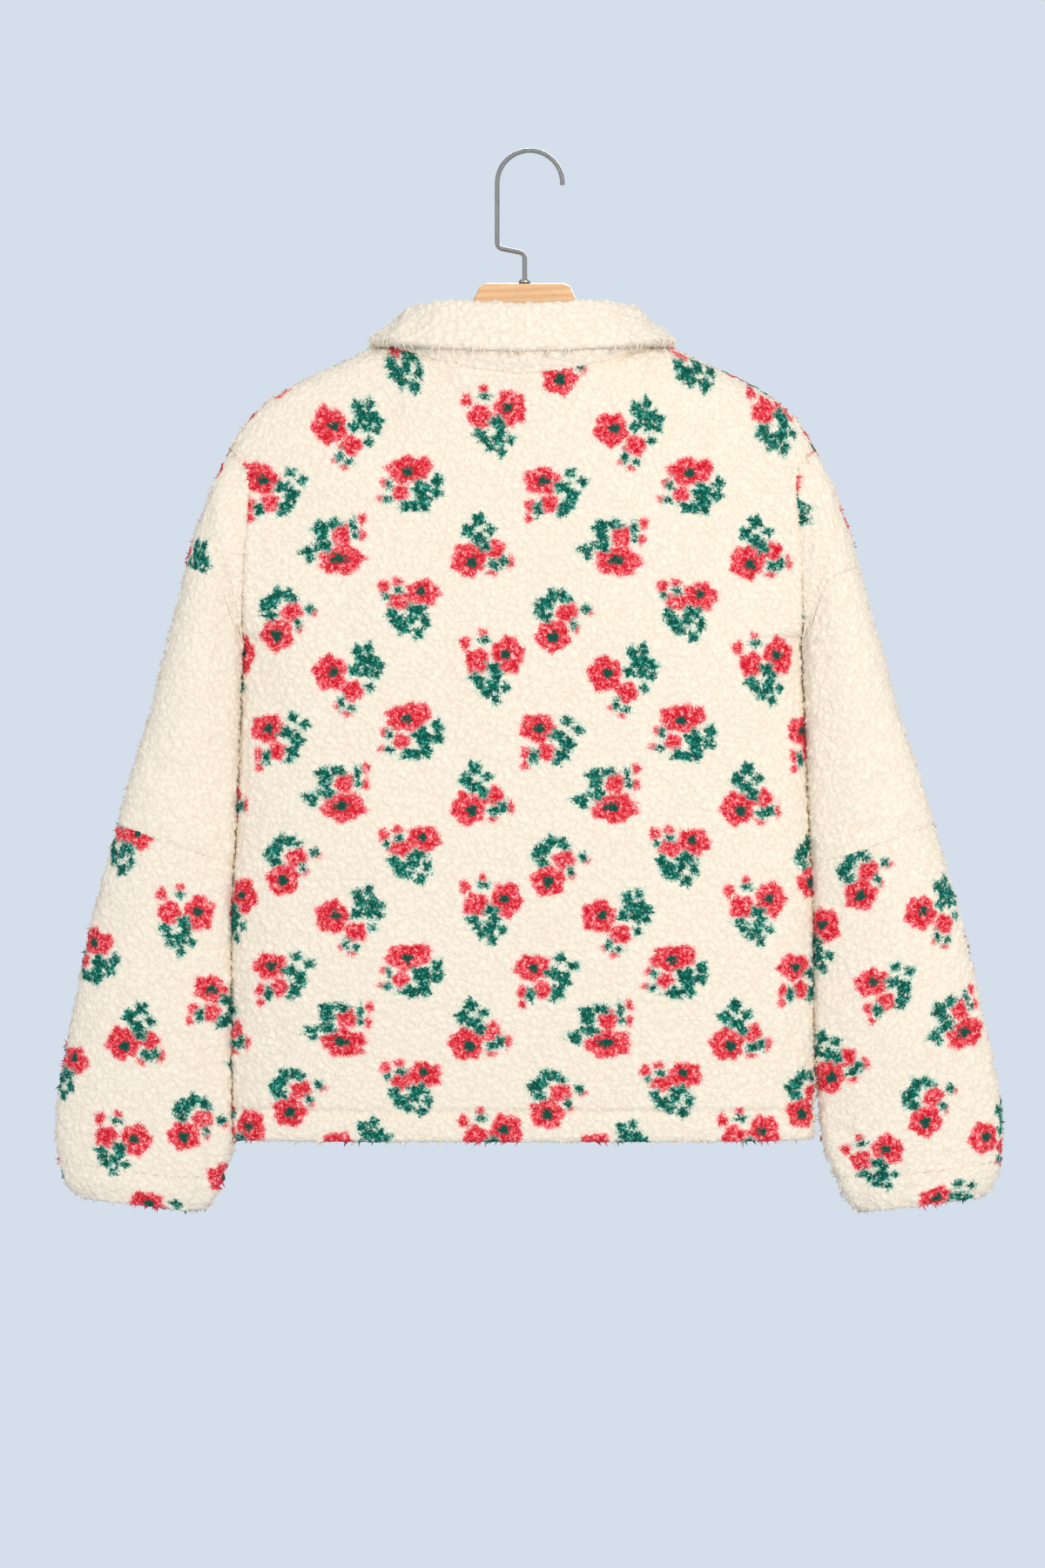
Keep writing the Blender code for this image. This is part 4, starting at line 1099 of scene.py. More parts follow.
def printed(right, up, lay):
    """Distances into the print's red, its green and the flowers' middles, for points of a flat cut."""
    red = np.full(right.shape, -MARK_LIMIT)
    green = np.full(right.shape, -MARK_LIMIT)
    hearts = np.full(right.shape, -MARK_LIMIT)
    turn = math.radians(lay.turn)
    reach = np.hypot(right - lay.x, up - lay.z).max() + REPEAT_WIDE
    laps = math.ceil(reach / REPEAT_HIGH)
    spots = itertools.product(range(-laps, laps + 1), range(-laps, laps + 1), REPEAT)
    for lap_x, lap_z, place in spots:
        x = (place.x / 1000 + lap_x * REPEAT_WIDE) * lay.scale
        z = (place.z / 1000 + lap_z * REPEAT_HIGH) * lay.scale
        middle_up = lay.z + x * math.sin(turn) + z * math.cos(turn)
        middle_right = lay.x + x * math.cos(turn) - z * math.sin(turn)
        middle_right *= 1 - lay.narrowing * (lay.z - middle_up)
        near = (np.abs(right - middle_right) < MARK_REACH) & (np.abs(up - middle_up) < MARK_REACH)
        if not near.any():
            continue
        number = lap_x * 31 + lap_z * 17 + ord(place.kind)
        tilt = turn + BOUQUET_SWAY * math.sin(number * 2.3)
        offset_x = (right[near] - middle_right) / lay.scale
        offset_z = (up[near] - middle_up) / lay.scale
        bouquet_x = offset_x * math.cos(tilt) + offset_z * math.sin(tilt)
        bouquet_z = offset_z * math.cos(tilt) - offset_x * math.sin(tilt)
        for index, mark in enumerate(BOUQUETS[place.kind]):
            inside = mark_distance(mark, bouquet_x, bouquet_z, number + MARK_PHASE * index)
            field = {LEAF: green, HEART: hearts}.get(mark.part, red)
            field[near] = np.maximum(field[near], inside)
    limits = (-MARK_LIMIT, MARK_LIMIT)
    return np.clip(red, *limits), np.clip(green, *limits), np.clip(hearts, *limits)


def unrolled_panel(outer):
    """Each point of a panel laid flat: how far along its row from the middle, and how high it hangs."""
    way = travelled(np.hypot(np.diff(outer[..., 0], axis=1), np.diff(outer[..., 1], axis=1)))
    middle = outer.shape[1] // 2
    heights = [hang.z for hang in HANGS]
    drift_right = np.interp(outer[..., 2], heights, [hang.right for hang in HANGS])
    drift_up = np.interp(outer[..., 2], heights, [hang.up for hang in HANGS])
    aside = outer[..., 0] - MIDDLE_X
    below = outer[:1, :, 2] - outer[..., 2]
    on_shoulder = smooth_steps(np.abs(aside), *SHOULDER_SPAN)
    close = on_shoulder * (1 - np.clip(below / SHOULDER_REACH, 0, 1))
    beside_neck = smooth_steps(aside, *NECK_SPAN[:2]) * (1 - smooth_steps(aside, *NECK_SPAN[2:]))
    lifted = beside_neck * (1 - smooth_steps(below, *NECK_REACH))
    drift_up -= SHOULDER_DRIFT * close + NECK_DRIFT * lifted
    drift_right -= np.sign(aside) * SHOULDER_SPREAD * SHOULDER_DRIFT * close
    return MIDDLE_X + way - way[:, middle : middle + 1] + drift_right, outer[..., 2] + drift_up


def unrolled_sleeve(outer, side):
    """Each point of a sleeve laid flat from the line of its outer edge, cut open at its inner edge."""
    way = travelled(np.linalg.norm(np.diff(outer[..., :2], axis=1), axis=2))
    lap = way[:, -1:] + np.linalg.norm(outer[:, -1, :2] - outer[:, 0, :2], axis=1)[:, None]
    way = np.where(way > lap / 2, way - lap, way)
    drawn = np.interp(-outer[..., 2], *CUFF_DRIFT)
    pulled = np.interp(-outer[..., 2], TIP_DEPTHS, (TIP_DRIFT[side], 0.0))
    return outer[:, :1, 0] - side * (way + pulled), outer[..., 2] - drawn


# ---------------------------------------------------------------- finishes
def added_node(tree, kind, values=None, **settings):
    """A new node with its settings and values. A value that is a socket is linked."""
    made = tree.nodes.new(kind)
    for key, value in settings.items():
        setattr(made, key, value)
    for key, value in (values or {}).items():
        if isinstance(value, bpy.types.NodeSocket):
            tree.links.new(value, made.inputs[key])
        else:
            made.inputs[key].default_value = value
    return made


class NodeChain:
    """Builds a material's nodes one by one."""

    def __init__(self, name):
        self.material = bpy.data.materials.new(name)
        self.material.use_nodes = True
        self.tree = self.material.node_tree
        self.shader = self.tree.nodes["Principled BSDF"]

    def node(self, kind, values=None, **settings):
        return added_node(self.tree, kind, values, **settings)

    def math(self, operation, first, second=0.0, third=0.0):
        values = {0: first, 1: second, 2: third}
        return self.node("ShaderNodeMath", values, operation=operation).outputs[0]

    def ranged(self, value, low, high, to_low=0.0, to_high=1.0, smooth=False):
        values = {"Value": value, "From Min": low, "From Max": high, "To Min": to_low, "To Max": to_high}
        kind = "SMOOTHSTEP" if smooth else "LINEAR"
        return self.node("ShaderNodeMapRange", values, interpolation_type=kind).outputs["Result"]

    def mixed(self, share, first, second):
        values = {0: share, 6: first, 7: second}
        return self.node("ShaderNodeMix", values, data_type="RGBA").outputs[2]

    def noise(self, where, scale, detail=2.0, roughness=0.55, distortion=0.0):
        values = {"Vector": where, "Scale": scale, "Detail": detail}
        values.update({"Roughness": roughness, "Distortion": distortion})
        return self.node("ShaderNodeTexNoise", values)

    def attribute(self, name):
        return self.node("ShaderNodeAttribute", attribute_name=name).outputs["Fac"]

    def stretched(self, where, scale):
        return self.node("ShaderNodeMapping", {"Vector": where, "Scale": scale}).outputs["Vector"]

    def place(self, turn=(0, 0, 0)):
        where = self.node("ShaderNodeTexCoord").outputs["Object"]
        return self.node("ShaderNodeMapping", {"Vector": where, "Rotation": turn}).outputs["Vector"]

    def bands(self, where, direction, scale, distortion, **details):
        values = {"Vector": where, "Scale": scale, "Distortion": distortion}
        values.update({key.replace("_", " "): value for key, value in details.items()})
        made = self.node("ShaderNodeTexWave", values, wave_type="BANDS", bands_direction=direction)
        return made.outputs["Fac"]

    def bump(self, height, strength, distance, normal=None):
        values = {"Height": height, "Strength": strength, "Distance": distance}
        if normal is not None:
            values["Normal"] = normal
        return self.node("ShaderNodeBump", values).outputs["Normal"]

    def finish(self, links=None, **constants):
        for key, value in constants.items():
            self.shader.inputs[key.replace("_", " ")].default_value = value
        for key, socket in (links or {}).items():
            self.tree.links.new(socket, self.shader.inputs[key])
        return self.material


def with_alpha(colour):
    return (*colour, 1.0)


def dyed_pile(chain, colour, dome, wisps, wisp_shade, strand_shade):
    """The print over the cream pile: ragged red and green, paler at the rims and on the tips.

    Gives the colour, and how far each place lies inside the print.
    """
    sizes = bpy.context.scene.fleece_sizes
    pink = with_alpha(sizes.pink_fleck)
    mint = with_alpha(sizes.mint_fleck)
    deep_green = with_alpha(sizes.deep_green)
    ragged = chain.math("MULTIPLY", wisp_shade, WISP_SPREAD)
    ragged = chain.math("MULTIPLY_ADD", strand_shade, STRAND_SPREAD, ragged)
    red = chain.math("ADD", chain.attribute("red"), ragged)
    other = chain.node("ShaderNodeSeparateColor", {"Color": wisps.outputs["Color"]}).outputs[1]
    other = chain.math("SUBTRACT", other, 0.5)
    ragged = chain.math("MULTIPLY", other, WISP_SPREAD)
    ragged = chain.math("MULTIPLY_ADD", strand_shade, STRAND_SPREAD, ragged)
    green = chain.math("ADD", chain.attribute("green"), ragged)
    heart = chain.math("ADD", chain.attribute("heart"), ragged)
    # The dome term paints the print lighter on the clumps' tops and darker towards their partings: painted
    # shade. The wisps and strands give the dye's own uneven tone.
    lit = chain.math("MULTIPLY_ADD", dome, 0.25, 0.38)
    lit = chain.math("MULTIPLY_ADD", wisp_shade, WISP_LIGHT, lit)
    lit = chain.math("MULTIPLY_ADD", strand_shade, STRAND_LIGHT, lit)
    shade = chain.ranged(lit, 0.05, 1.05)
    red_colour = chain.mixed(shade, with_alpha(sizes.deep_red), with_alpha(sizes.light_red))
    red_colour = chain.mixed(chain.ranged(lit, 0.95, 1.45, 0.0, FLECK_SHARE), red_colour, pink)
    green_colour = chain.mixed(chain.ranged(lit, 0.22, 1.05), deep_green, with_alpha(sizes.light_green))
    green_colour = chain.mixed(chain.ranged(lit, 1.08, 1.50, 0.0, FLECK_SHARE), green_colour, mint)
    heart_colour = chain.mixed(shade, with_alpha(HEART_DARK), deep_green)
    colour = chain.mixed(chain.ranged(red, RIM_FROM, RIM_TO, 0.0, PINK_RIM), colour, pink)
    colour = chain.mixed(chain.ranged(red, -EDGE_SOFTNESS, EDGE_SOFTNESS), colour, red_colour)
    colour = chain.mixed(chain.ranged(green, RIM_FROM, RIM_TO, 0.0, MINT_RIM), colour, mint)
    colour = chain.mixed(chain.ranged(green, -EDGE_SOFTNESS, EDGE_SOFTNESS), colour, green_colour)
    colour = chain.mixed(chain.ranged(heart, -EDGE_SOFTNESS, EDGE_SOFTNESS), colour, heart_colour)
    return colour, chain.math("MAXIMUM", red, green)


def fleece_finish(name, printed_cloth, cell_size):
    """Curly pile: cream curls, painted shade in the parting lines and the low pile, and the print dyed in
    with ragged edges.
    """
    sizes = bpy.context.scene.fleece_sizes
    chain = NodeChain(name)
    where = chain.place()
    strands = chain.noise(where, STRAND_SCALE, 3.0, 0.65, 0.6)
    wisps = chain.noise(where, WISP_SCALE, 2.0, 0.6, 0.8)
    broad = chain.noise(where, BROAD_SCALE, 2.0, 0.5)
    pile = chain.attribute("pile")
    strand_shade = chain.math("SUBTRACT", strands.outputs["Fac"], 0.5)
    wisp_shade = chain.math("SUBTRACT", wisps.outputs["Fac"], 0.5)
    curl_way = chain.node(
        "ShaderNodeVectorMath",
        {0: wisps.outputs["Color"], 1: (CURL_BEND, CURL_BEND, CURL_BEND), 2: where},
        operation="MULTIPLY_ADD",
    ).outputs["Vector"]
    cells = chain.node(
        "ShaderNodeTexVoronoi",
        {"Vector": curl_way, "Scale": 1 / cell_size, "Randomness": 0.95},
        feature="DISTANCE_TO_EDGE",
    ).outputs["Distance"]
    dome = chain.ranged(cells, 0.0, 0.32, smooth=True)
    line = chain.ranged(cells, 0.0, PARTING_LINE, 1.0, 0.0, smooth=True)
    hidden = chain.ranged(pile, 0.15, 0.85, 1.0, 0.45)
    line = chain.math("MULTIPLY", line, hidden)
    lit = chain.math("MULTIPLY_ADD", wisp_shade, 0.35, pile)
    lit = chain.math("MULTIPLY_ADD", strand_shade, 0.45, lit)
    lit = chain.ranged(lit, -0.05, 0.45, smooth=True)
    tip = chain.mixed(broad.outputs["Fac"], with_alpha(sizes.tip_colour), with_alpha(sizes.warm_colour))
    # Painted shade: the low pile and the parting lines are drawn in the darker parting shade colour.
    low = chain.math("MULTIPLY", chain.math("SUBTRACT", 1.0, lit), LOW_SHADE)
    low = chain.math("MULTIPLY_ADD", line, LINE_SHADE, low)
    colour = chain.mixed(low, tip, with_alpha(sizes.parting_shade_colour))
    links = {}
    if printed_cloth:
        colour, dyed = dyed_pile(chain, colour, dome, wisps, wisp_shade, strand_shade)
        links["Sheen Weight"] = chain.ranged(dyed, -0.002, 0.001, PILE_SHEEN, DYED_SHEEN)
    links["Base Color"] = colour
    normal = chain.bump(dome, 0.45, cell_size * 0.15)
    normal = chain.bump(wisps.outputs["Fac"], 0.35, 0.0009, normal)
    links["Normal"] = chain.bump(strands.outputs["Fac"], 0.35, 0.0005, normal)
    return chain.finish(
        links, Roughness=0.95, Specular_IOR_Level=0.15, Sheen_Weight=PILE_SHEEN, Sheen_Roughness=0.5
    )


def backing_finish():
    """The knit side inside the garment: fine upright ribs of loops, painted darker between the loops as
    shade, with a random mottle.
    """
    chain = NodeChain("knit_backing")
    where = chain.place()
    ribs = chain.bands(where, "X", 260.0, 0.6, Detail=1.0)
    rows = chain.bands(where, "Z", 330.0, 0.8, Detail=1.0)
    loops = chain.math("MULTIPLY", ribs, rows)
    mottle = chain.noise(where, 120.0, 3.0)
    shade = chain.math("MULTIPLY_ADD", mottle.outputs["Fac"], 0.5, loops)
    # Painted shade: darker between the ribs and rows of loops.
    colour = chain.mixed(chain.ranged(shade, 0.1, 0.9), (0.62, 0.55, 0.42, 1), (0.84, 0.78, 0.64, 1))
    normal = chain.bump(loops, 0.5, 0.0006)
    return chain.finish({"Base Color": colour, "Normal": normal}, Roughness=0.9, Sheen_Weight=0.2)


def beech_finish():
    """Light beech: long soft grain lines along the hanger, short dark flecks and a satin lacquer."""
    chain = NodeChain("lacquered_beech")
    along = chain.place((0, math.radians(2), 0))
    drawn_out = chain.stretched(along, (5, 60, 60))
    grain = chain.noise(drawn_out, 3.2, 4.0, 0.55, 0.9).outputs["Fac"]
    lines = chain.bands(drawn_out, "Z", 0.9, 9.0, Detail=3.0, Detail_Scale=0.5)
    flecks = chain.noise(chain.stretched(along, (130, 900, 900)), 1.0, 1.0, 0.4).outputs["Fac"]
    shade = chain.math("MULTIPLY_ADD", lines, 0.45, chain.math("MULTIPLY", grain, 0.8))
    colour = chain.mixed(chain.ranged(shade, 0.25, 0.95), (0.79, 0.49, 0.245, 1), (0.66, 0.35, 0.15, 1))
    colour = chain.mixed(chain.ranged(flecks, 0.66, 0.74, 0.0, 0.45), colour, (0.40, 0.19, 0.085, 1))
    rough = chain.ranged(grain, 0.3, 0.7, 0.38, 0.52)
    links = {"Base Color": colour, "Roughness": rough, "Normal": chain.bump(shade, 0.12, 0.0004)}
    return chain.finish(links, Coat_Weight=0.25, Coat_Roughness=0.25)


def nickel_finish():
    """Dull nickel plate: fine drawing lines and faint dark spots."""
    chain = NodeChain("dull_nickel")
    where = chain.place()
    streaks = chain.noise(chain.stretched(where, (900, 900, 120)), 1.0, 3.0).outputs["Fac"]
    spots = chain.noise(where, 420.0, 3.0, 0.6).outputs["Fac"]
    shade = chain.math("MULTIPLY_ADD", streaks, 0.6, chain.math("MULTIPLY", spots, 0.4))
    colour = chain.mixed(chain.ranged(shade, 0.3, 0.7), (0.20, 0.185, 0.16, 1), (0.40, 0.38, 0.34, 1))
    rough = chain.ranged(shade, 0.3, 0.7, 0.42, 0.28)
    normal = chain.bump(streaks, 0.15, 0.0002)
    return chain.finish({"Base Color": colour, "Roughness": rough, "Normal": normal}, Metallic=1.0)


def button_finish():
    """Cream plastic with faint cloudy swirls."""
    chain = NodeChain("button_plastic")
    clouds = chain.noise(chain.place(), 170.0, 3.0, 0.6, 1.6).outputs["Fac"]
    colour = chain.mixed(chain.ranged(clouds, 0.35, 0.65), (0.70, 0.60, 0.43, 1), (0.88, 0.81, 0.66, 1))
    rough = chain.ranged(clouds, 0.3, 0.7, 0.28, 0.42)
    normal = chain.bump(clouds, 0.08, 0.0003)
    return chain.finish({"Base Color": colour, "Roughness": rough, "Normal": normal}, Coat_Weight=0.2)


def thread_finish():
    """Matt cream sewing thread with its twist, painted darker in the twist's grooves as shade."""
    chain = NodeChain("cream_thread")
    twist = chain.bands(chain.place(), "DIAGONAL", 900.0, 0.5)
    # Painted shade: darker in the grooves of the twist.
    colour = chain.mixed(twist, (0.66, 0.58, 0.44, 1), (0.86, 0.79, 0.65, 1))
    normal = chain.bump(twist, 0.4, 0.0002)
    return chain.finish({"Base Color": colour, "Normal": normal}, Roughness=0.8, Sheen_Weight=0.2)


def made_once(name, maker, *details):
    """The finish of this name, made the first time it is asked for."""
    if name not in bpy.data.materials:
        made = maker(*details)
        made.name = name
    return bpy.data.materials[name]


def fleece_pair(kind):
    """A cloth piece's finishes: the pile outside and the knit inside."""
    sizes = bpy.context.scene.fleece_sizes
    name = f"{kind}_pile"
    cell_size = sizes.collar_clump_size if kind == "collar_fleece" else sizes.clump_size
    pile = made_once(name, fleece_finish, name, kind == "flower_fleece", cell_size)
    return [pile, made_once("knit_backing", backing_finish)]


# ---------------------------------------------------------------- sizes and colours a user may change
def length_property(label, about, default, low, high):
    return bpy.props.FloatProperty(
        name=label, description=about, default=default, min=low, max=high, unit="LENGTH", precision=4
    )


def colour_property(label, about, default):
    return bpy.props.FloatVectorProperty(
        name=label, description=about, default=default, min=0, max=1, size=3, subtype="COLOR"
    )


def power_property(label, about, default):
    return bpy.props.FloatProperty(name=label, description=about, default=default, min=0, subtype="POWER")


class FleeceSizes(bpy.types.PropertyGroup):
    """Sizes and colours of the cloth."""

    clump_size: length_property("Clump size", "Distance between curls of the pile", 0.0062, 0.003, 0.02)
    collar_clump_size: length_property(
        "Collar clumps", "Distance between the collar's curls", 0.0075, 0.003, 0.02
    )
    pile_height: length_property("Pile height", "Height of the curls over their partings", 0.0018, 0.0, 0.006)
    lock_length: length_property("Lock length", "Length of the loose locks along edges", 0.0060, 0.001, 0.012)
    lock_width: length_property("Lock width", "Width of a loose lock at its foot", 0.0030, 0.0005, 0.006)
    lock_density: bpy.props.FloatProperty(
        name="Locks", description="Loose locks on each square metre of tufted cloth", default=70000.0, min=0
    )
    lock_seed: bpy.props.IntProperty(name="Seed", description="Arrangement of the locks", default=7, min=0)
    tip_colour: colour_property("Tips", "Colour of the curls' tips", (0.845, 0.725, 0.575))
    warm_colour: colour_property("Warm tips", "Warmer shade in soft patches", (0.86, 0.735, 0.572))
    # Painted shade: the colour drawn in the partings and the low pile in place of their shade.
    parting_shade_colour: colour_property("Partings", "Colour between the curls", (0.63, 0.50, 0.345))
    # Deep and light print colours: the dye's own uneven tone, with painted shade from the clumps' domes.
    deep_red: colour_property("Deep red", "Red in the pile's depth", (0.54, 0.004, 0.016))
    light_red: colour_property("Light red", "Red on the tips", (0.87, 0.105, 0.118))
    deep_green: colour_property("Deep green", "Green in the pile's depth", (0.000, 0.060, 0.038))
    light_green: colour_property("Light green", "Green on the tips", (0.003, 0.190, 0.128))
    pink_fleck: colour_property("Pink flecks", "Barely dyed tips in the red", (0.93, 0.42, 0.38))
    mint_fleck: colour_property("Mint flecks", "Barely dyed tips in the green", (0.27, 0.56, 0.43))


class StageSizes(bpy.types.PropertyGroup):
    """The plain studio."""

    key_power: power_property("Key light", "Power of the large light", 48.0)
    fill_power: power_property("Fill light", "Power of the second light", 24.0)
    back_power: power_property("Far light", "Power of the light on the front side", 75.0)
    sky_strength: bpy.props.FloatProperty(
        name="Room light", description="Strength of the even light", default=0.95, min=0
    )
    sky_colour: colour_property("Room colour", "Pale colour of the room", (0.70, 0.775, 0.88))
    camera_distance: length_property("Camera distance", "From the garment to the camera", 3.0, 0.5, 20.0)


# ---------------------------------------------------------------- cloth pieces
SheetCut = namedtuple("SheetCut", "width length area")
# A flat cut's width and length with its seam allowances and turned-up edges, in metres, and its area in
# square metres.
TOP, BOTTOM, START, END = range(4)  # the four edges of a piece's grid
# How deep seams lie in the pile, as shares of the deepest.
ARMHOLE_SHARE = 0.8
PANEL_EDGE_SHARE = 0.3
NECK_SHARE = 0.25
COLLAR_SHARE = 0.2
PLACKET_SHARE = 0.5
SLEEVE_SEAMS = {
    "sleeve_top": {TOP: ARMHOLE_SHARE, BOTTOM: 0.35},
    "sleeve_middle": {TOP: 0.35, BOTTOM: 0.35},
    "sleeve_lower": {TOP: 0.35, BOTTOM: 0.15},
    "cuff": {TOP: 0.15},
}


def edge_ways(grid, wraps):
    """The distance from each point to each of the grid's four edges, along its row or column."""
    way = travelled(np.linalg.norm(np.diff(grid, axis=0), axis=2).T).T
    ways = {TOP: way, BOTTOM: way[-1] - way}
    if not wraps:
        way = travelled(np.linalg.norm(np.diff(grid, axis=1), axis=2))
        ways[START] = way
        ways[END] = way[:, -1:] - way
    return ways


def nearest_way(ways, edges):
    """The distance to the nearest of these edges, or a long way where there is none."""
    return np.minimum.reduce([ways[edge] for edge in edges]) if edges else np.full(ways[TOP].shape, FAR)


def seam_share(points, ways, sewn):
    """How strongly the pile is drawn in along sewn edges, from 0 to 1.

    Side seams stay full under the arm, and the armhole seam is hidden at the shoulder's tip.
    """
    drawn = np.zeros(ways[TOP].shape)
    for edge, share in sewn.items():
        depth = PANEL_EDGE_SHARE if edge in (START, END) and share == ARMHOLE_SHARE else share
        close = depth * (1 - smooth_steps(ways[edge], 0.0, SEAM_REACH))
        if edge in (START, END):
            close = close * smooth_steps(points[..., 2], UNDERARM_Z - UNDERARM_FADE, UNDERARM_Z)
        if share == ARMHOLE_SHARE:
            close = close * smooth_steps(-points[..., 2], *TIP_SEAM_DEPTHS)
        drawn = np.maximum(drawn, close)
    return drawn


def lengthened(grid, sewn):
    """The grid with its sewn edges moved out a little, so that neighbours meet in the seam."""
    moved = grid.copy()
    for edge in sewn:
        line, beside = {
            TOP: ((0, slice(None)), (1, slice(None))),
            BOTTOM: ((-1, slice(None)), (-2, slice(None))),
            START: ((slice(None), 0), (slice(None), 1)),
            END: ((slice(None), -1), (slice(None), -2)),
        }[edge]
        way = grid[line] - grid[beside]
        by = SEAM_OVERLAP * (2.5 if sewn[edge] == ARMHOLE_SHARE else 1)
        moved[line] = moved[line] + way / np.linalg.norm(way, axis=-1, keepdims=True) * by
    return moved


def outward_sign(outer, inner, wraps):
    """1 or -1, so that normals of the outer grid point away from the inner one."""
    normals = surface_normals(outer, wraps, 1)
    return math.copysign(1, float((normals * (outer - inner)).sum()))


def pile_move(fine, wraps, outward, clump, sewn, folds, pressed_at=None):
    """The pile's face: curls over partings, sunk at sewn edges, with soft folds.

    Gives its points, the pile's height, how far it is sunk, the ways to the edges and the normals.
    """
    sizes = bpy.context.scene.fleece_sizes
    normals = surface_normals(fine, wraps, outward)
    height = curly_pile(fine, clump)
    ways = edge_ways(fine, wraps)
    sunk = seam_share(fine, ways, sewn)
    turned = smooth_steps(1 - np.abs(normals[..., 1]), 0.3, 0.9)
    raised = sizes.pile_height * (1 + TURNED_PILE * turned) * (1 - 0.5 * sunk)
    move = (height - 0.5) * raised - SEAM_SINK * sunk
    move += folded(fine, folds)
    towards = np.abs(normals[..., 0]) * (np.sign(normals[..., 0]) != np.sign(fine[..., 0] - MIDDLE_X))
    beside = smooth_steps(towards, 0.35, 0.9)
    beside = beside * smooth_steps(-fine[..., 2], -UNDERARM_Z, CREASE_FADE - UNDERARM_Z)
    move += CREASE_FULLNESS * beside * wraps
    if pressed_at is not None:  # the pile lies flat where the collar folds on itself
        share = ways[START] / (ways[START] + ways[END])
        move *= smooth_steps(np.abs(share - pressed_at), 0.10, 0.28)
    return fine + normals * move[..., None], height, sunk, ways, normals


def hem_groove(points, normals, pile):
    """A shallow line where the turned-up hem is stitched, with painted shade in it."""
    close = np.exp(-(((points[..., 2] - HEM_STITCH_Z) / HEM_STITCH_WIDTH) ** 2))
    close = close * (0.75 + 0.25 * soft_noise(points, HEM_WANDER, 51))
    # The pile value drops in the groove: painted shade.
    return points - normals * (HEM_STITCH_DEPTH * close)[..., None], pile * (1 - 0.7 * close)


def tuft_share(points, ways, free, sewn, normals, sunk):
    """How thickly loose locks stand: most at free edges, fewer where the cloth turns away to the side.

    They also cover the armhole seam at the shoulder's tip.
    """
    rim = 1 - smooth_steps(nearest_way(ways, free), 0.0, TUFT_REACH)
    turned = smooth_steps(1 - np.abs(normals[..., 1]), 0.45, 0.85)
    tip = 1 - smooth_steps(nearest_way(ways, sewn), 0.0, 2 * TUFT_REACH)
    aside = np.abs(points[..., 0] - MIDDLE_X)
    tip *= smooth_steps(points[..., 2], *TIP_TUFT_HEIGHTS) * smooth_steps(aside, *TIP_TUFT_SPAN)
    share = np.maximum(np.maximum(rim, tip), TURNED_TUFTS * turned) * (1 - sunk)
    sides = [edge for edge in (START, END) if sewn.get(edge) == ARMHOLE_SHARE]
    if sides:
        edge = 1 - smooth_steps(nearest_way(ways, sides), *ARMHOLE_TUFT_WAY)
        below = smooth_steps(-points[..., 2], *ARMHOLE_TUFT_DEPTHS)
        share = np.maximum(share, ARMHOLE_TUFTS * edge * below)
    return np.clip(share, 0, 1)


def neck_middle(points):
    """1 beside the middle of the back of the neck, fading to 0 towards the shoulders and at the front."""
    aside = np.abs(points[..., 0] - MIDDLE_X)
    return (1 - smooth_steps(aside, *NECK_FULL_SPAN)) * smooth_steps(-points[..., 1], 0.005, 0.020)


def plain_corners(points):
    """1 where a sleeve top's print stays plain: under the arm, and beside the left armhole."""
    under_arm = 1 - smooth_steps(points[..., 2], PLAIN_BELOW - PLAIN_EDGE, PLAIN_BELOW + PLAIN_EDGE)
    beside = smooth_steps(points[..., 0], PLAIN_INSIDE - PLAIN_EDGE, PLAIN_INSIDE + PLAIN_EDGE)
    return under_arm + beside * (points[..., 0] < 0)


def print_values(name, right, up, lay, points):
    """The print's distances for each point, by attribute."""
    fields = dict(zip(("red", "green", "heart"), printed(right, up, lay)))
    if name.startswith("sleeve_top"):
        plain = 3 * MARK_LIMIT * plain_corners(points)
        fields = {mark: field - plain for mark, field in fields.items()}
    return fields


def collar_underside(inner, outward, clump, sewn):
    """The collar's underside and its pile: flat in the fold, full on the stand and at the fall's edge."""
    under = finer(inner, SPACINGS["collar"], False)
    under, pile, _, ways, normals = pile_move(under, False, -outward, clump, sewn, (), COLLAR_FOLD_SHARE)
    share = ways[START] / (ways[START] + ways[END])
    at_back = neck_middle(under)
    foot = NECK_FULLNESS / STAND_FULLNESS * at_back
    full = foot + (1 - foot) * smooth_steps(share, 0.0, 0.16)
    full *= smooth_steps(COLLAR_FOLD_SHARE - share, 0.08, 0.28) * STAND_FULLNESS
    at_edge = 1 - smooth_steps(ways[END], 0.0, FALL_FULL_REACH)
    full += (FALL_FULLNESS - FALL_EASE * at_back) * at_edge
    return under + normals * full[..., None], pile


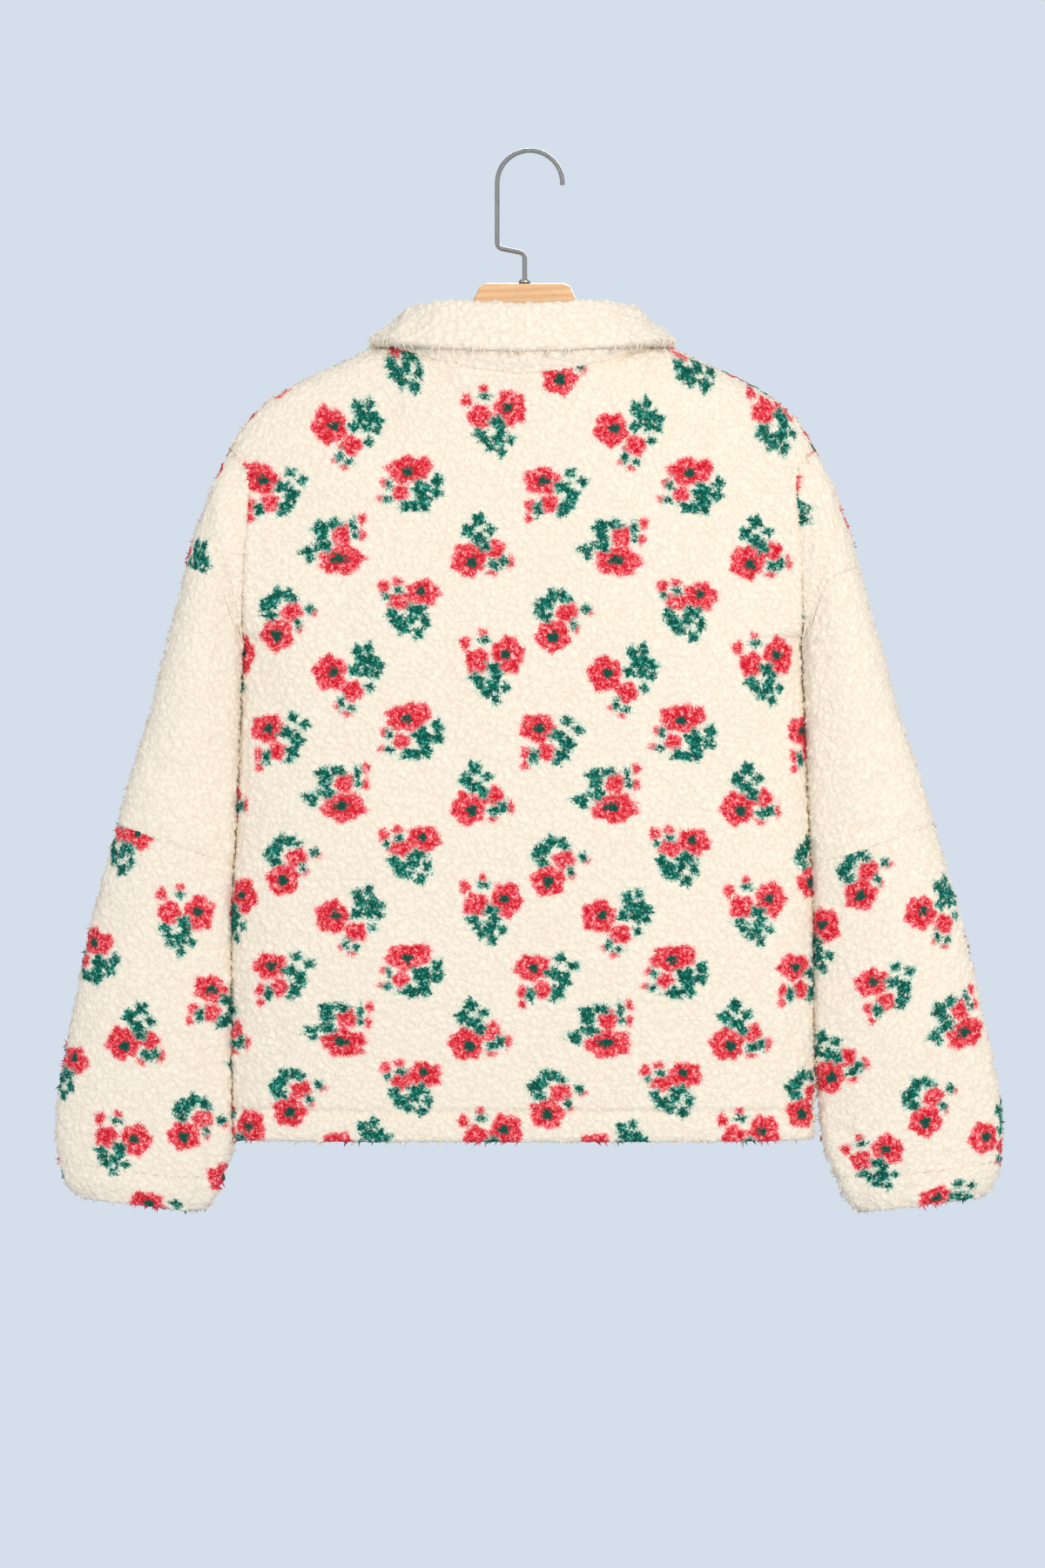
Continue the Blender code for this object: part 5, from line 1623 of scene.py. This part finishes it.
def fleece_wall(name, outer, inner, wraps, kind, sewn, free, flat=None, lay=None, folds=()):
    """One cloth piece: fine pile face, knit inside, print, and how thickly locks stand on it."""
    sizes = bpy.context.scene.fleece_sizes
    is_panel = name in ("back", "front")
    clumps = {"collar_fleece": sizes.collar_clump_size, "placket_fleece": PLACKET_CLUMP}
    clump = clumps.get(kind, sizes.clump_size)
    spacing = SPACINGS[name.split("_")[0]]
    outward = outward_sign(outer, inner, wraps)
    outer = lengthened(outer, sewn)
    inner = lengthened(inner, sewn)
    fine = finer(outer, spacing, wraps)
    moved, pile, sunk, ways, normals = pile_move(fine, wraps, outward, clump, sewn, folds)
    short = 1 - np.clip(nearest_way(ways, free) / ROUND_REACH, 0, 1)
    moved = moved - normals * (ROUND_DEPTH * (1 - np.sqrt(1 - short * short)))[..., None]
    if is_panel:
        moved, pile = hem_groove(moved, normals, pile)
        full = NECK_FULLNESS * neck_middle(fine) * (1 - smooth_steps(ways[TOP], 0.0, NECK_FULL_REACH))
        moved = moved + normals * full[..., None]
    # The pile value is lowered by 0.45 of the sink along sewn edges, which paints shade into the seams.
    values = {"pile": pile * (1 - 0.45 * sunk), "tufts": tuft_share(fine, ways, free, sewn, normals, sunk)}
    if lay is not None:
        values.update(print_values(name, *flat(fine), lay, fine))
    materials = fleece_pair(kind)
    inner_values = None
    if kind == "collar_fleece":
        inner, under_pile = collar_underside(inner, outward, clump, sewn)
        inner_values = {"pile": under_pile}
        materials = materials[:1]
    else:
        inner = finer(inner, LINING_SPACING, wraps)
    made = cloth_object(f"{name}_cloth", moved, inner, wraps, values, materials, inner_values)
    return ride_as(made, [f"{name}_panel" if is_panel else name])


def ride_as(piece, nodes=()):
    """The piece rides on the body and stands for the nodes, which are hidden."""
    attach(piece, "root")
    if nodes:
        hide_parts(*nodes)
    return piece


def make_panel(face):
    """The back or the front. Its face runs on smoothly past the row where the hem's second layer starts."""
    name = "back" if face == BACK else "front"
    outer, inner = (table_of(grid) for grid in panel_grids(face))
    keep = [row for row in range(len(outer)) if abs(outer[row, 0, 2] - HEM_TOP_Z) > 1e-4]
    return fleece_wall(
        name,
        outer[keep],
        inner[keep],
        False,
        "flower_fleece",
        sewn={TOP: NECK_SHARE, START: ARMHOLE_SHARE, END: ARMHOLE_SHARE},
        free=(BOTTOM,),
        flat=unrolled_panel,
        lay=PRINT_LAYS[f"{name}_panel"],
        folds=BACK_FOLDS if face == BACK else FRONT_FOLDS,
    )


def mirrored_folds(side):
    """The sleeve's folds on this side."""
    if side == LEFT:
        return SLEEVE_FOLDS
    moved = []
    for fold in SLEEVE_FOLDS:
        moved.append(
            fold._replace(
                start_x=2 * MIDDLE_X - fold.start_x,
                end_x=2 * MIDDLE_X - fold.end_x,
                start_z=fold.start_z - SLEEVE_FOLD_SHIFT,
                end_z=fold.end_z - SLEEVE_FOLD_SHIFT,
                bow=-fold.bow,
            )
        )
    return moved


def make_sleeve(side):
    """The pieces of one sleeve, by the name of their cut."""
    side_name = "left" if side == LEFT else "right"
    outer, inner = sleeve_grids(side)
    made = {}
    for name, first, last in SLEEVE_PIECES:
        pair = []
        for grid in (outer, inner):
            rings = [list(ring) for ring in grid[first : last + 1]]
            if first > 0:
                rings[0] = moved_towards(grid[first], grid[first + 1])
            if last < len(grid) - 1:
                rings[-1] = moved_towards(grid[last], grid[last - 1])
            pair.append(table_of(rings))
        cut_with = "sleeve_lower" if name == "cuff" else name
        lay = PRINT_LAYS.get(f"{cut_with}_{side_name}")
        made[name] = fleece_wall(
            f"{name}_{side_name}",
            *pair,
            True,
            "flower_fleece" if lay else "cream_fleece",
            sewn=SLEEVE_SEAMS[name],
            free=(BOTTOM,) if name == "cuff" else (),
            flat=lambda fine: unrolled_sleeve(fine, side),
            lay=lay,
            folds=mirrored_folds(side),
        )
    return made


def make_collar():
    """The collar's stand and fall in one strip, from one front end round the back to the other."""
    angles = []
    for low, high in zip(COLLAR, COLLAR[1:]):
        angles.append(low.angle)
        angles.append((low.angle + high.angle) / 2)
    angles.append(COLLAR[-1].angle)
    stations = [(angle, LEFT) for angle in reversed(angles[1:])] + [(angle, RIGHT) for angle in angles]
    lines = [collar_line(angle, side) for angle, side in stations]
    under = table_of([line[0] for line in lines])
    upper = table_of([line[1] for line in lines])
    sewn = {START: COLLAR_SHARE}
    return fleece_wall("collar", upper, under, False, "collar_fleece", sewn, free=(TOP, BOTTOM, END))


def make_placket():
    """The placket, a strip that lies on the front below the neck."""
    outer = panel_grids(FRONT)[0]
    top_z = neck_point(180).z - PLACKET_DROP
    rows = []
    for step in range(PLACKET_STEPS + 1):
        z = top_z + (PLACKET_BOTTOM_Z - top_z) * step / PLACKET_STEPS
        line = []
        for share in PLACKET_SHARES:
            x = MIDDLE_X + share * PLACKET_HALF_WIDTH
            line.append(Vector((x, front_at(outer, x, z) + SEAM_GAP, z)))
        rows.append(line)
    under = table_of(rows)
    face = under + np.array((0, PLACKET_CLOTH, 0))
    sewn = {edge: PLACKET_SHARE for edge in (TOP, BOTTOM, START, END)}
    return fleece_wall("placket", face, under, False, "placket_fleece", sewn, free=())


# ---------------------------------------------------------------- sewing
def add_thread(points, faces, path, side, radius):
    """A round thread along a path that stays in one plane; side is level across it."""
    first = len(points)
    last = len(path) - 1
    for index, place in enumerate(path):
        along = (path[min(index + 1, last)] - path[max(index - 1, 0)]).normalized()
        up = along.cross(side)
        for corner in range(THREAD_SIDES):
            turn = 2 * math.pi * corner / THREAD_SIDES
            points.append(place + (side * math.cos(turn) + up * math.sin(turn)) * radius)
    for ring in range(last):
        start = first + ring * THREAD_SIDES
        for corner in range(THREAD_SIDES):
            after = (corner + 1) % THREAD_SIDES
            beyond = start + THREAD_SIDES
            faces.append((start + corner, start + after, beyond + after, beyond + corner))
    end = first + last * THREAD_SIDES
    faces.append(tuple(range(first, first + THREAD_SIDES)))
    faces.append(tuple(range(end, end + THREAD_SIDES)))


def button_threads(points, faces):
    """Two doubled threads crossed over each button's four holes."""
    for number in (1, 2, 3):
        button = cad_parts[f"button_{number}"]
        corners = [button.matrix_world @ Vector(corner) for corner in button.bound_box]
        z = (min(corner.z for corner in corners) + max(corner.z for corner in corners)) / 2
        face_y = max(corner.y for corner in corners) - BUTTON_DISH
        for lift, slope in ((0.0, 1), (THREAD_LIFT, -1)):
            way = Vector((1, 0, slope)).normalized()
            side = Vector((-slope, 0, 1)).normalized()
            for beside in (-THREAD_APART, THREAD_APART):
                path = []
                for step in range(THREAD_STEPS + 1):
                    share = 2 * step / THREAD_STEPS - 1
                    y = face_y + THREAD_LIFT + lift * (1 - share * share) - THREAD_DIP * abs(share) ** 5
                    middle = Vector((MIDDLE_X, y, z))
                    path.append(middle + way * share * BUTTON_HOLE_SPREAD + side * beside)
                add_thread(points, faces, path, side, THREAD_RADIUS)


def placket_stitches(points, faces):
    """A row of short stitches down each side of the placket, sunk in its pile."""
    outer = panel_grids(FRONT)[0]
    top_z = neck_point(180).z - PLACKET_DROP
    count = int((top_z - PLACKET_BOTTOM_Z - 2 * STITCH_INSET) / STITCH_STEP)
    for side in (LEFT, RIGHT):
        x = MIDDLE_X + side * (PLACKET_HALF_WIDTH - STITCH_INSET)
        for number in range(count):
            start_z = top_z - STITCH_INSET - number * STITCH_STEP
            path = []
            for step in range(STITCH_STEPS + 1):
                z = start_z - STITCH_LENGTH * step / STITCH_STEPS
                sunk = THREAD_RADIUS * (1.2 * (2 * step / STITCH_STEPS - 1) ** 2 - 0.9)
                path.append(Vector((x, front_at(outer, x, z) + SEAM_GAP + PLACKET_CLOTH - sunk, z)))
            add_thread(points, faces, path, Vector((1, 0, 0)), THREAD_RADIUS)


def make_sewing():
    """The buttons' threads and the placket's stitches, as one piece."""
    points = []
    faces = []
    button_threads(points, faces)
    placket_stitches(points, faces)
    mesh = bpy.data.meshes.new("front_threads")
    mesh.from_pydata([tuple(point) for point in points], [], faces)
    mesh.materials.append(made_once("cream_thread", thread_finish))
    return ride_as(finished_object(mesh))


# ---------------------------------------------------------------- loose locks
LOCK_SIZES = (0.55, 1.25)  # the smallest and largest, in shares of the stated size
LOCK_BEND = 0.45  # how far a lock's tip bends over, in lengths


def lock_tree(name, material):
    """Geometry nodes that stand short curved locks on a cloth's tufted places."""
    tree = bpy.data.node_groups.new(name, "GeometryNodeTree")
    face = tree.interface
    face.new_socket("Geometry", in_out="INPUT", socket_type="NodeSocketGeometry")
    for label in ("Density", "Length", "Width", "Droop", "Ruffle", "Flare"):
        face.new_socket(label, in_out="INPUT", socket_type="NodeSocketFloat")
    face.new_socket("Seed", in_out="INPUT", socket_type="NodeSocketInt")
    face.new_socket("Geometry", in_out="OUTPUT", socket_type="NodeSocketGeometry")

    def node(kind, values=None, **settings):
        return added_node(tree, kind, values, **settings)

    def math_node(operation, *values):
        return node("ShaderNodeMath", dict(enumerate(values)), operation=operation).outputs[0]

    def vector(operation, *values):
        return node("ShaderNodeVectorMath", dict(enumerate(values)), operation=operation).outputs[0]

    def scaled(way, share):
        return node("ShaderNodeVectorMath", {0: way, "Scale": share}, operation="SCALE").outputs[0]

    def random_number(low, high):
        values = {2: low, 3: high, "Seed": given["Seed"]}
        return node("FunctionNodeRandomValue", values, data_type="FLOAT").outputs[1]

    def position(axis):
        place = node("GeometryNodeInputPosition").outputs[0]
        return node("ShaderNodeSeparateXYZ", {0: place}).outputs[axis]

    given = node("NodeGroupInput").outputs
    tufts = node("GeometryNodeInputNamedAttribute", {"Name": "tufts"}, data_type="FLOAT").outputs[0]
    density = math_node("MULTIPLY", tufts, given["Density"])
    spread = node(
        "GeometryNodeDistributePointsOnFaces",
        {"Mesh": given["Geometry"], "Density": density, "Seed": given["Seed"]},
        distribute_method="RANDOM",
    )
    tilt = node(
        "FunctionNodeRandomValue",
        {"Min": (-1.0, -1.0, -1.0), "Max": (1.0, 1.0, 1.0), "Seed": given["Seed"]},
        data_type="FLOAT_VECTOR",
    ).outputs[0]
    tilt = scaled(tilt, given["Ruffle"])
    down = scaled((0.0, 0.0, -1.0), given["Droop"])
    way = vector("ADD", vector("ADD", spread.outputs["Normal"], tilt), down)
    across = math_node("SIGN", math_node("SUBTRACT", position(0), MIDDLE_X))
    lean = node("ShaderNodeCombineXYZ", {"X": math_node("MULTIPLY", across, given["Flare"])}).outputs[0]
    way = vector("ADD", way, lean)
    turned = node("FunctionNodeAlignRotationToVector", {"Vector": way}, axis="Z").outputs[0]
    spin_angle = random_number(0.0, 2 * math.pi)
    spin = node("FunctionNodeAxisAngleToRotation", {"Axis": (0.0, 0.0, 1.0), "Angle": spin_angle}).outputs[0]
    turned = node(
        "FunctionNodeRotateRotation", {"Rotation": turned, "Rotate By": spin}, rotation_space="LOCAL"
    ).outputs[0]
    size = random_number(*LOCK_SIZES)
    cone = node(
        "GeometryNodeMeshCone",
        {
            "Vertices": 4,
            "Side Segments": 3,
            "Radius Top": 0.0,
            "Radius Bottom": math_node("MULTIPLY", given["Width"], 0.5),
            "Depth": given["Length"],
        },
        fill_type="NONE",
    ).outputs["Mesh"]
    share = math_node("DIVIDE", position(2), given["Length"])
    most = math_node("MULTIPLY", given["Length"], LOCK_BEND)
    bend = math_node("MULTIPLY", math_node("MULTIPLY", share, share), most)
    foot = math_node("MULTIPLY", given["Length"], -0.2)
    shift = node("ShaderNodeCombineXYZ", {"X": bend, "Z": foot}).outputs[0]
    curved = node("GeometryNodeSetPosition", {"Geometry": cone, "Offset": shift}).outputs[0]
    size = math_node("MULTIPLY", size, math_node("MULTIPLY_ADD", tufts, 0.6, 0.4))
    stood = node(
        "GeometryNodeInstanceOnPoints",
        {"Points": spread.outputs["Points"], "Instance": curved, "Rotation": turned, "Scale": size},
    ).outputs[0]
    real = node("GeometryNodeRealizeInstances", {"Geometry": stood}).outputs[0]
    smooth = node("GeometryNodeSetShadeSmooth", {"Geometry": real}).outputs[0]
    coloured = node("GeometryNodeSetMaterial", {"Geometry": smooth, "Material": material}).outputs[0]
    tree.links.new(coloured, node("NodeGroupOutput").inputs[0])
    return tree


def loose_locks(cloth, length_share, seed_step, droop):
    """A separate piece of loose locks that stand on the cloth's tufted places."""
    sizes = bpy.context.scene.fleece_sizes
    name = cloth.name.replace("cloth", "locks")
    made = bpy.data.objects.new(name, cloth.data.copy())
    bpy.context.scene.collection.objects.link(made)
    tree = lock_tree(f"{name}_nodes", cloth.data.materials[0])
    changer = made.modifiers.new("locks", "NODES")
    changer.node_group = tree
    given = {
        "Density": sizes.lock_density,
        "Length": sizes.lock_length * length_share,
        "Width": sizes.lock_width,
        "Droop": droop,
        "Ruffle": 0.6,
        "Flare": FLARE if name.startswith(("back", "front")) else 0.0,
        "Seed": sizes.lock_seed + seed_step,
    }
    for item in tree.interface.items_tree:
        if item.in_out == "INPUT" and item.name in given:
            changer[item.identifier] = given[item.name]
    graph = bpy.context.evaluated_depsgraph_get()
    graph.update()
    mesh = bpy.data.meshes.new_from_object(made.evaluated_get(graph), depsgraph=graph)
    made.modifiers.clear()
    base = made.data
    made.data = mesh
    bpy.data.meshes.remove(base)
    bpy.data.node_groups.remove(tree)
    if not mesh.polygons:
        raise RuntimeError(f"{name} has no locks")
    return ride_as(made)


def with_locks(cloth, length_share=1.0, droop=0.55):
    """Makes the cloth's loose locks."""
    locks = loose_locks(cloth, length_share, len(cloth.name), droop)


# ---------------------------------------------------------------- studio
PHOTO_MIDDLE = (-0.0030, -0.5506)  # x and z at the middle of the view
VIEW_HEIGHT = 1.368
SENSOR = 36.0
FLOOR_Z = -1.75
FLOOR_SIZE = 3.6


def area_light(name, place, aim, size, power, colour=(1, 1, 1)):
    data = bpy.data.lights.new(name, "AREA")
    data.shape = "DISK"
    data.size = size
    data.energy = power
    data.color = colour
    light = bpy.data.objects.new(name, data)
    bpy.context.scene.collection.objects.link(light)
    light.location = place
    light.rotation_mode = "QUATERNION"
    light.rotation_quaternion = (Vector(aim) - Vector(place)).to_track_quat("-Z", "Y")


def make_stage():
    """The room, a floor, three lights and the camera, which looks straight at the back."""
    sizes = bpy.context.scene.pullover_stage
    scene = bpy.context.scene
    world = bpy.data.worlds.new("pale_room")
    world.use_nodes = True
    background = world.node_tree.nodes["Background"]
    background.inputs["Color"].default_value = with_alpha(sizes.sky_colour)
    background.inputs["Strength"].default_value = sizes.sky_strength
    scene.world = world
    scene.view_settings.view_transform = "Standard"
    mesh = bpy.data.meshes.new("floor")
    half = FLOOR_SIZE / 2
    corners = [(-half, -half, FLOOR_Z), (half, -half, FLOOR_Z), (half, half, FLOOR_Z), (-half, half, FLOOR_Z)]
    mesh.from_pydata(corners, [], [(0, 1, 2, 3)])
    chain = NodeChain("pale_floor")
    cloudy = chain.noise(chain.place(), 2.0, 2.0)
    colour = chain.mixed(cloudy.outputs["Fac"], (0.48, 0.53, 0.60, 1), (0.51, 0.56, 0.63, 1))
    mesh.materials.append(chain.finish({"Base Color": colour}, Roughness=0.9))
    floor = bpy.data.objects.new("floor", mesh)
    scene.collection.objects.link(floor)
    middle = (PHOTO_MIDDLE[0], 0, PHOTO_MIDDLE[1])
    area_light("key_light", (1.5, -2.6, 0.15), middle, 1.5, sizes.key_power, (1.0, 0.985, 0.96))
    area_light("fill_light", (-1.9, -2.4, 0.0), middle, 2.0, sizes.fill_power, (0.94, 0.97, 1.0))
    area_light("far_light", (0.4, 2.8, 1.2), middle, 2.0, sizes.back_power)
    camera_data = bpy.data.cameras.new("camera")
    camera_data.sensor_width = SENSOR
    camera_data.lens = SENSOR * sizes.camera_distance / VIEW_HEIGHT
    camera_data.clip_end = 50.0
    camera = bpy.data.objects.new("camera", camera_data)
    scene.collection.objects.link(camera)
    camera.location = (PHOTO_MIDDLE[0], -sizes.camera_distance, PHOTO_MIDDLE[1])
    camera.rotation_euler = (math.radians(90), 0, 0)
    scene.camera = camera


# ---------------------------------------------------------------- operators
class PULLOVER_OT_body(bpy.types.Operator):
    """Make the back and the front"""

    bl_idname = "pullover.body"
    bl_label = "Back and front"

    def execute(self, context):
        for face, cut in ((BACK, "back_panel"), (FRONT, "front_panel")):
            with_locks(make_panel(face))
        return {"FINISHED"}


class PULLOVER_OT_sleeves(bpy.types.Operator):
    """Make both sleeves in their cut pieces"""

    bl_idname = "pullover.sleeves"
    bl_label = "Sleeves"

    def execute(self, context):
        for side in (LEFT, RIGHT):
            for name, piece in make_sleeve(side).items():
                with_locks(piece)
        return {"FINISHED"}


class PULLOVER_OT_collar(bpy.types.Operator):
    """Make the collar, the front placket and its sewing"""

    bl_idname = "pullover.collar"
    bl_label = "Collar and placket"

    def execute(self, context):
        with_locks(make_collar(), length_share=1.4, droop=2.0)
        make_placket()
        make_sewing()
        return {"FINISHED"}


class PULLOVER_OT_hanger(bpy.types.Operator):
    """Finish the hanger's wood and wire, and the buttons"""

    bl_idname = "pullover.hanger"
    bl_label = "Hanger and buttons"

    def execute(self, context):
        finishes = {
            "hanger_wood": made_once("lacquered_beech", beech_finish),
            "hanger_hook": made_once("dull_nickel", nickel_finish),
            "hanger_ferrule": made_once("dull_nickel", nickel_finish),
        }
        for number in (1, 2, 3):
            finishes[f"button_{number}"] = made_once("cream_button", button_finish)
        for node, material in finishes.items():
            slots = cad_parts[node].data.materials
            slots.clear()
            slots.append(material)
        return {"FINISHED"}


class PULLOVER_OT_stage(bpy.types.Operator):
    """Make the floor, the lights and the camera"""

    bl_idname = "pullover.stage"
    bl_label = "Studio"

    def execute(self, context):
        make_stage()
        return {"FINISHED"}


OPERATORS = (
    PULLOVER_OT_body,
    PULLOVER_OT_sleeves,
    PULLOVER_OT_collar,
    PULLOVER_OT_hanger,
    PULLOVER_OT_stage,
)


class PULLOVER_PT_panel(bpy.types.Panel):
    """Lists the pieces and their sizes"""

    bl_idname = "PULLOVER_PT_panel"
    bl_label = "Fleece pullover"
    bl_space_type = "VIEW_3D"
    bl_region_type = "UI"
    bl_category = "Pullover"

    def draw(self, context):
        layout = self.layout
        for group in (context.scene.fleece_sizes, context.scene.pullover_stage):
            box = layout.box()
            for key in group.bl_rna.properties.keys():
                if key not in ("rna_type", "name"):
                    box.prop(group, key)
        for operator in OPERATORS:
            layout.operator(operator.bl_idname)


CLASSES = (FleeceSizes, StageSizes, *OPERATORS, PULLOVER_PT_panel)


def register():
    for item in CLASSES:
        bpy.utils.register_class(item)
    bpy.types.Scene.fleece_sizes = bpy.props.PointerProperty(type=FleeceSizes)
    bpy.types.Scene.pullover_stage = bpy.props.PointerProperty(type=StageSizes)


def unregister():
    del bpy.types.Scene.pullover_stage
    del bpy.types.Scene.fleece_sizes
    for item in reversed(CLASSES):
        bpy.utils.unregister_class(item)


def main():
    register()
    for operator in OPERATORS:
        group, name = operator.bl_idname.split(".")
        getattr(getattr(bpy.ops, group), name)()


if __name__ == "__main__":
    main()
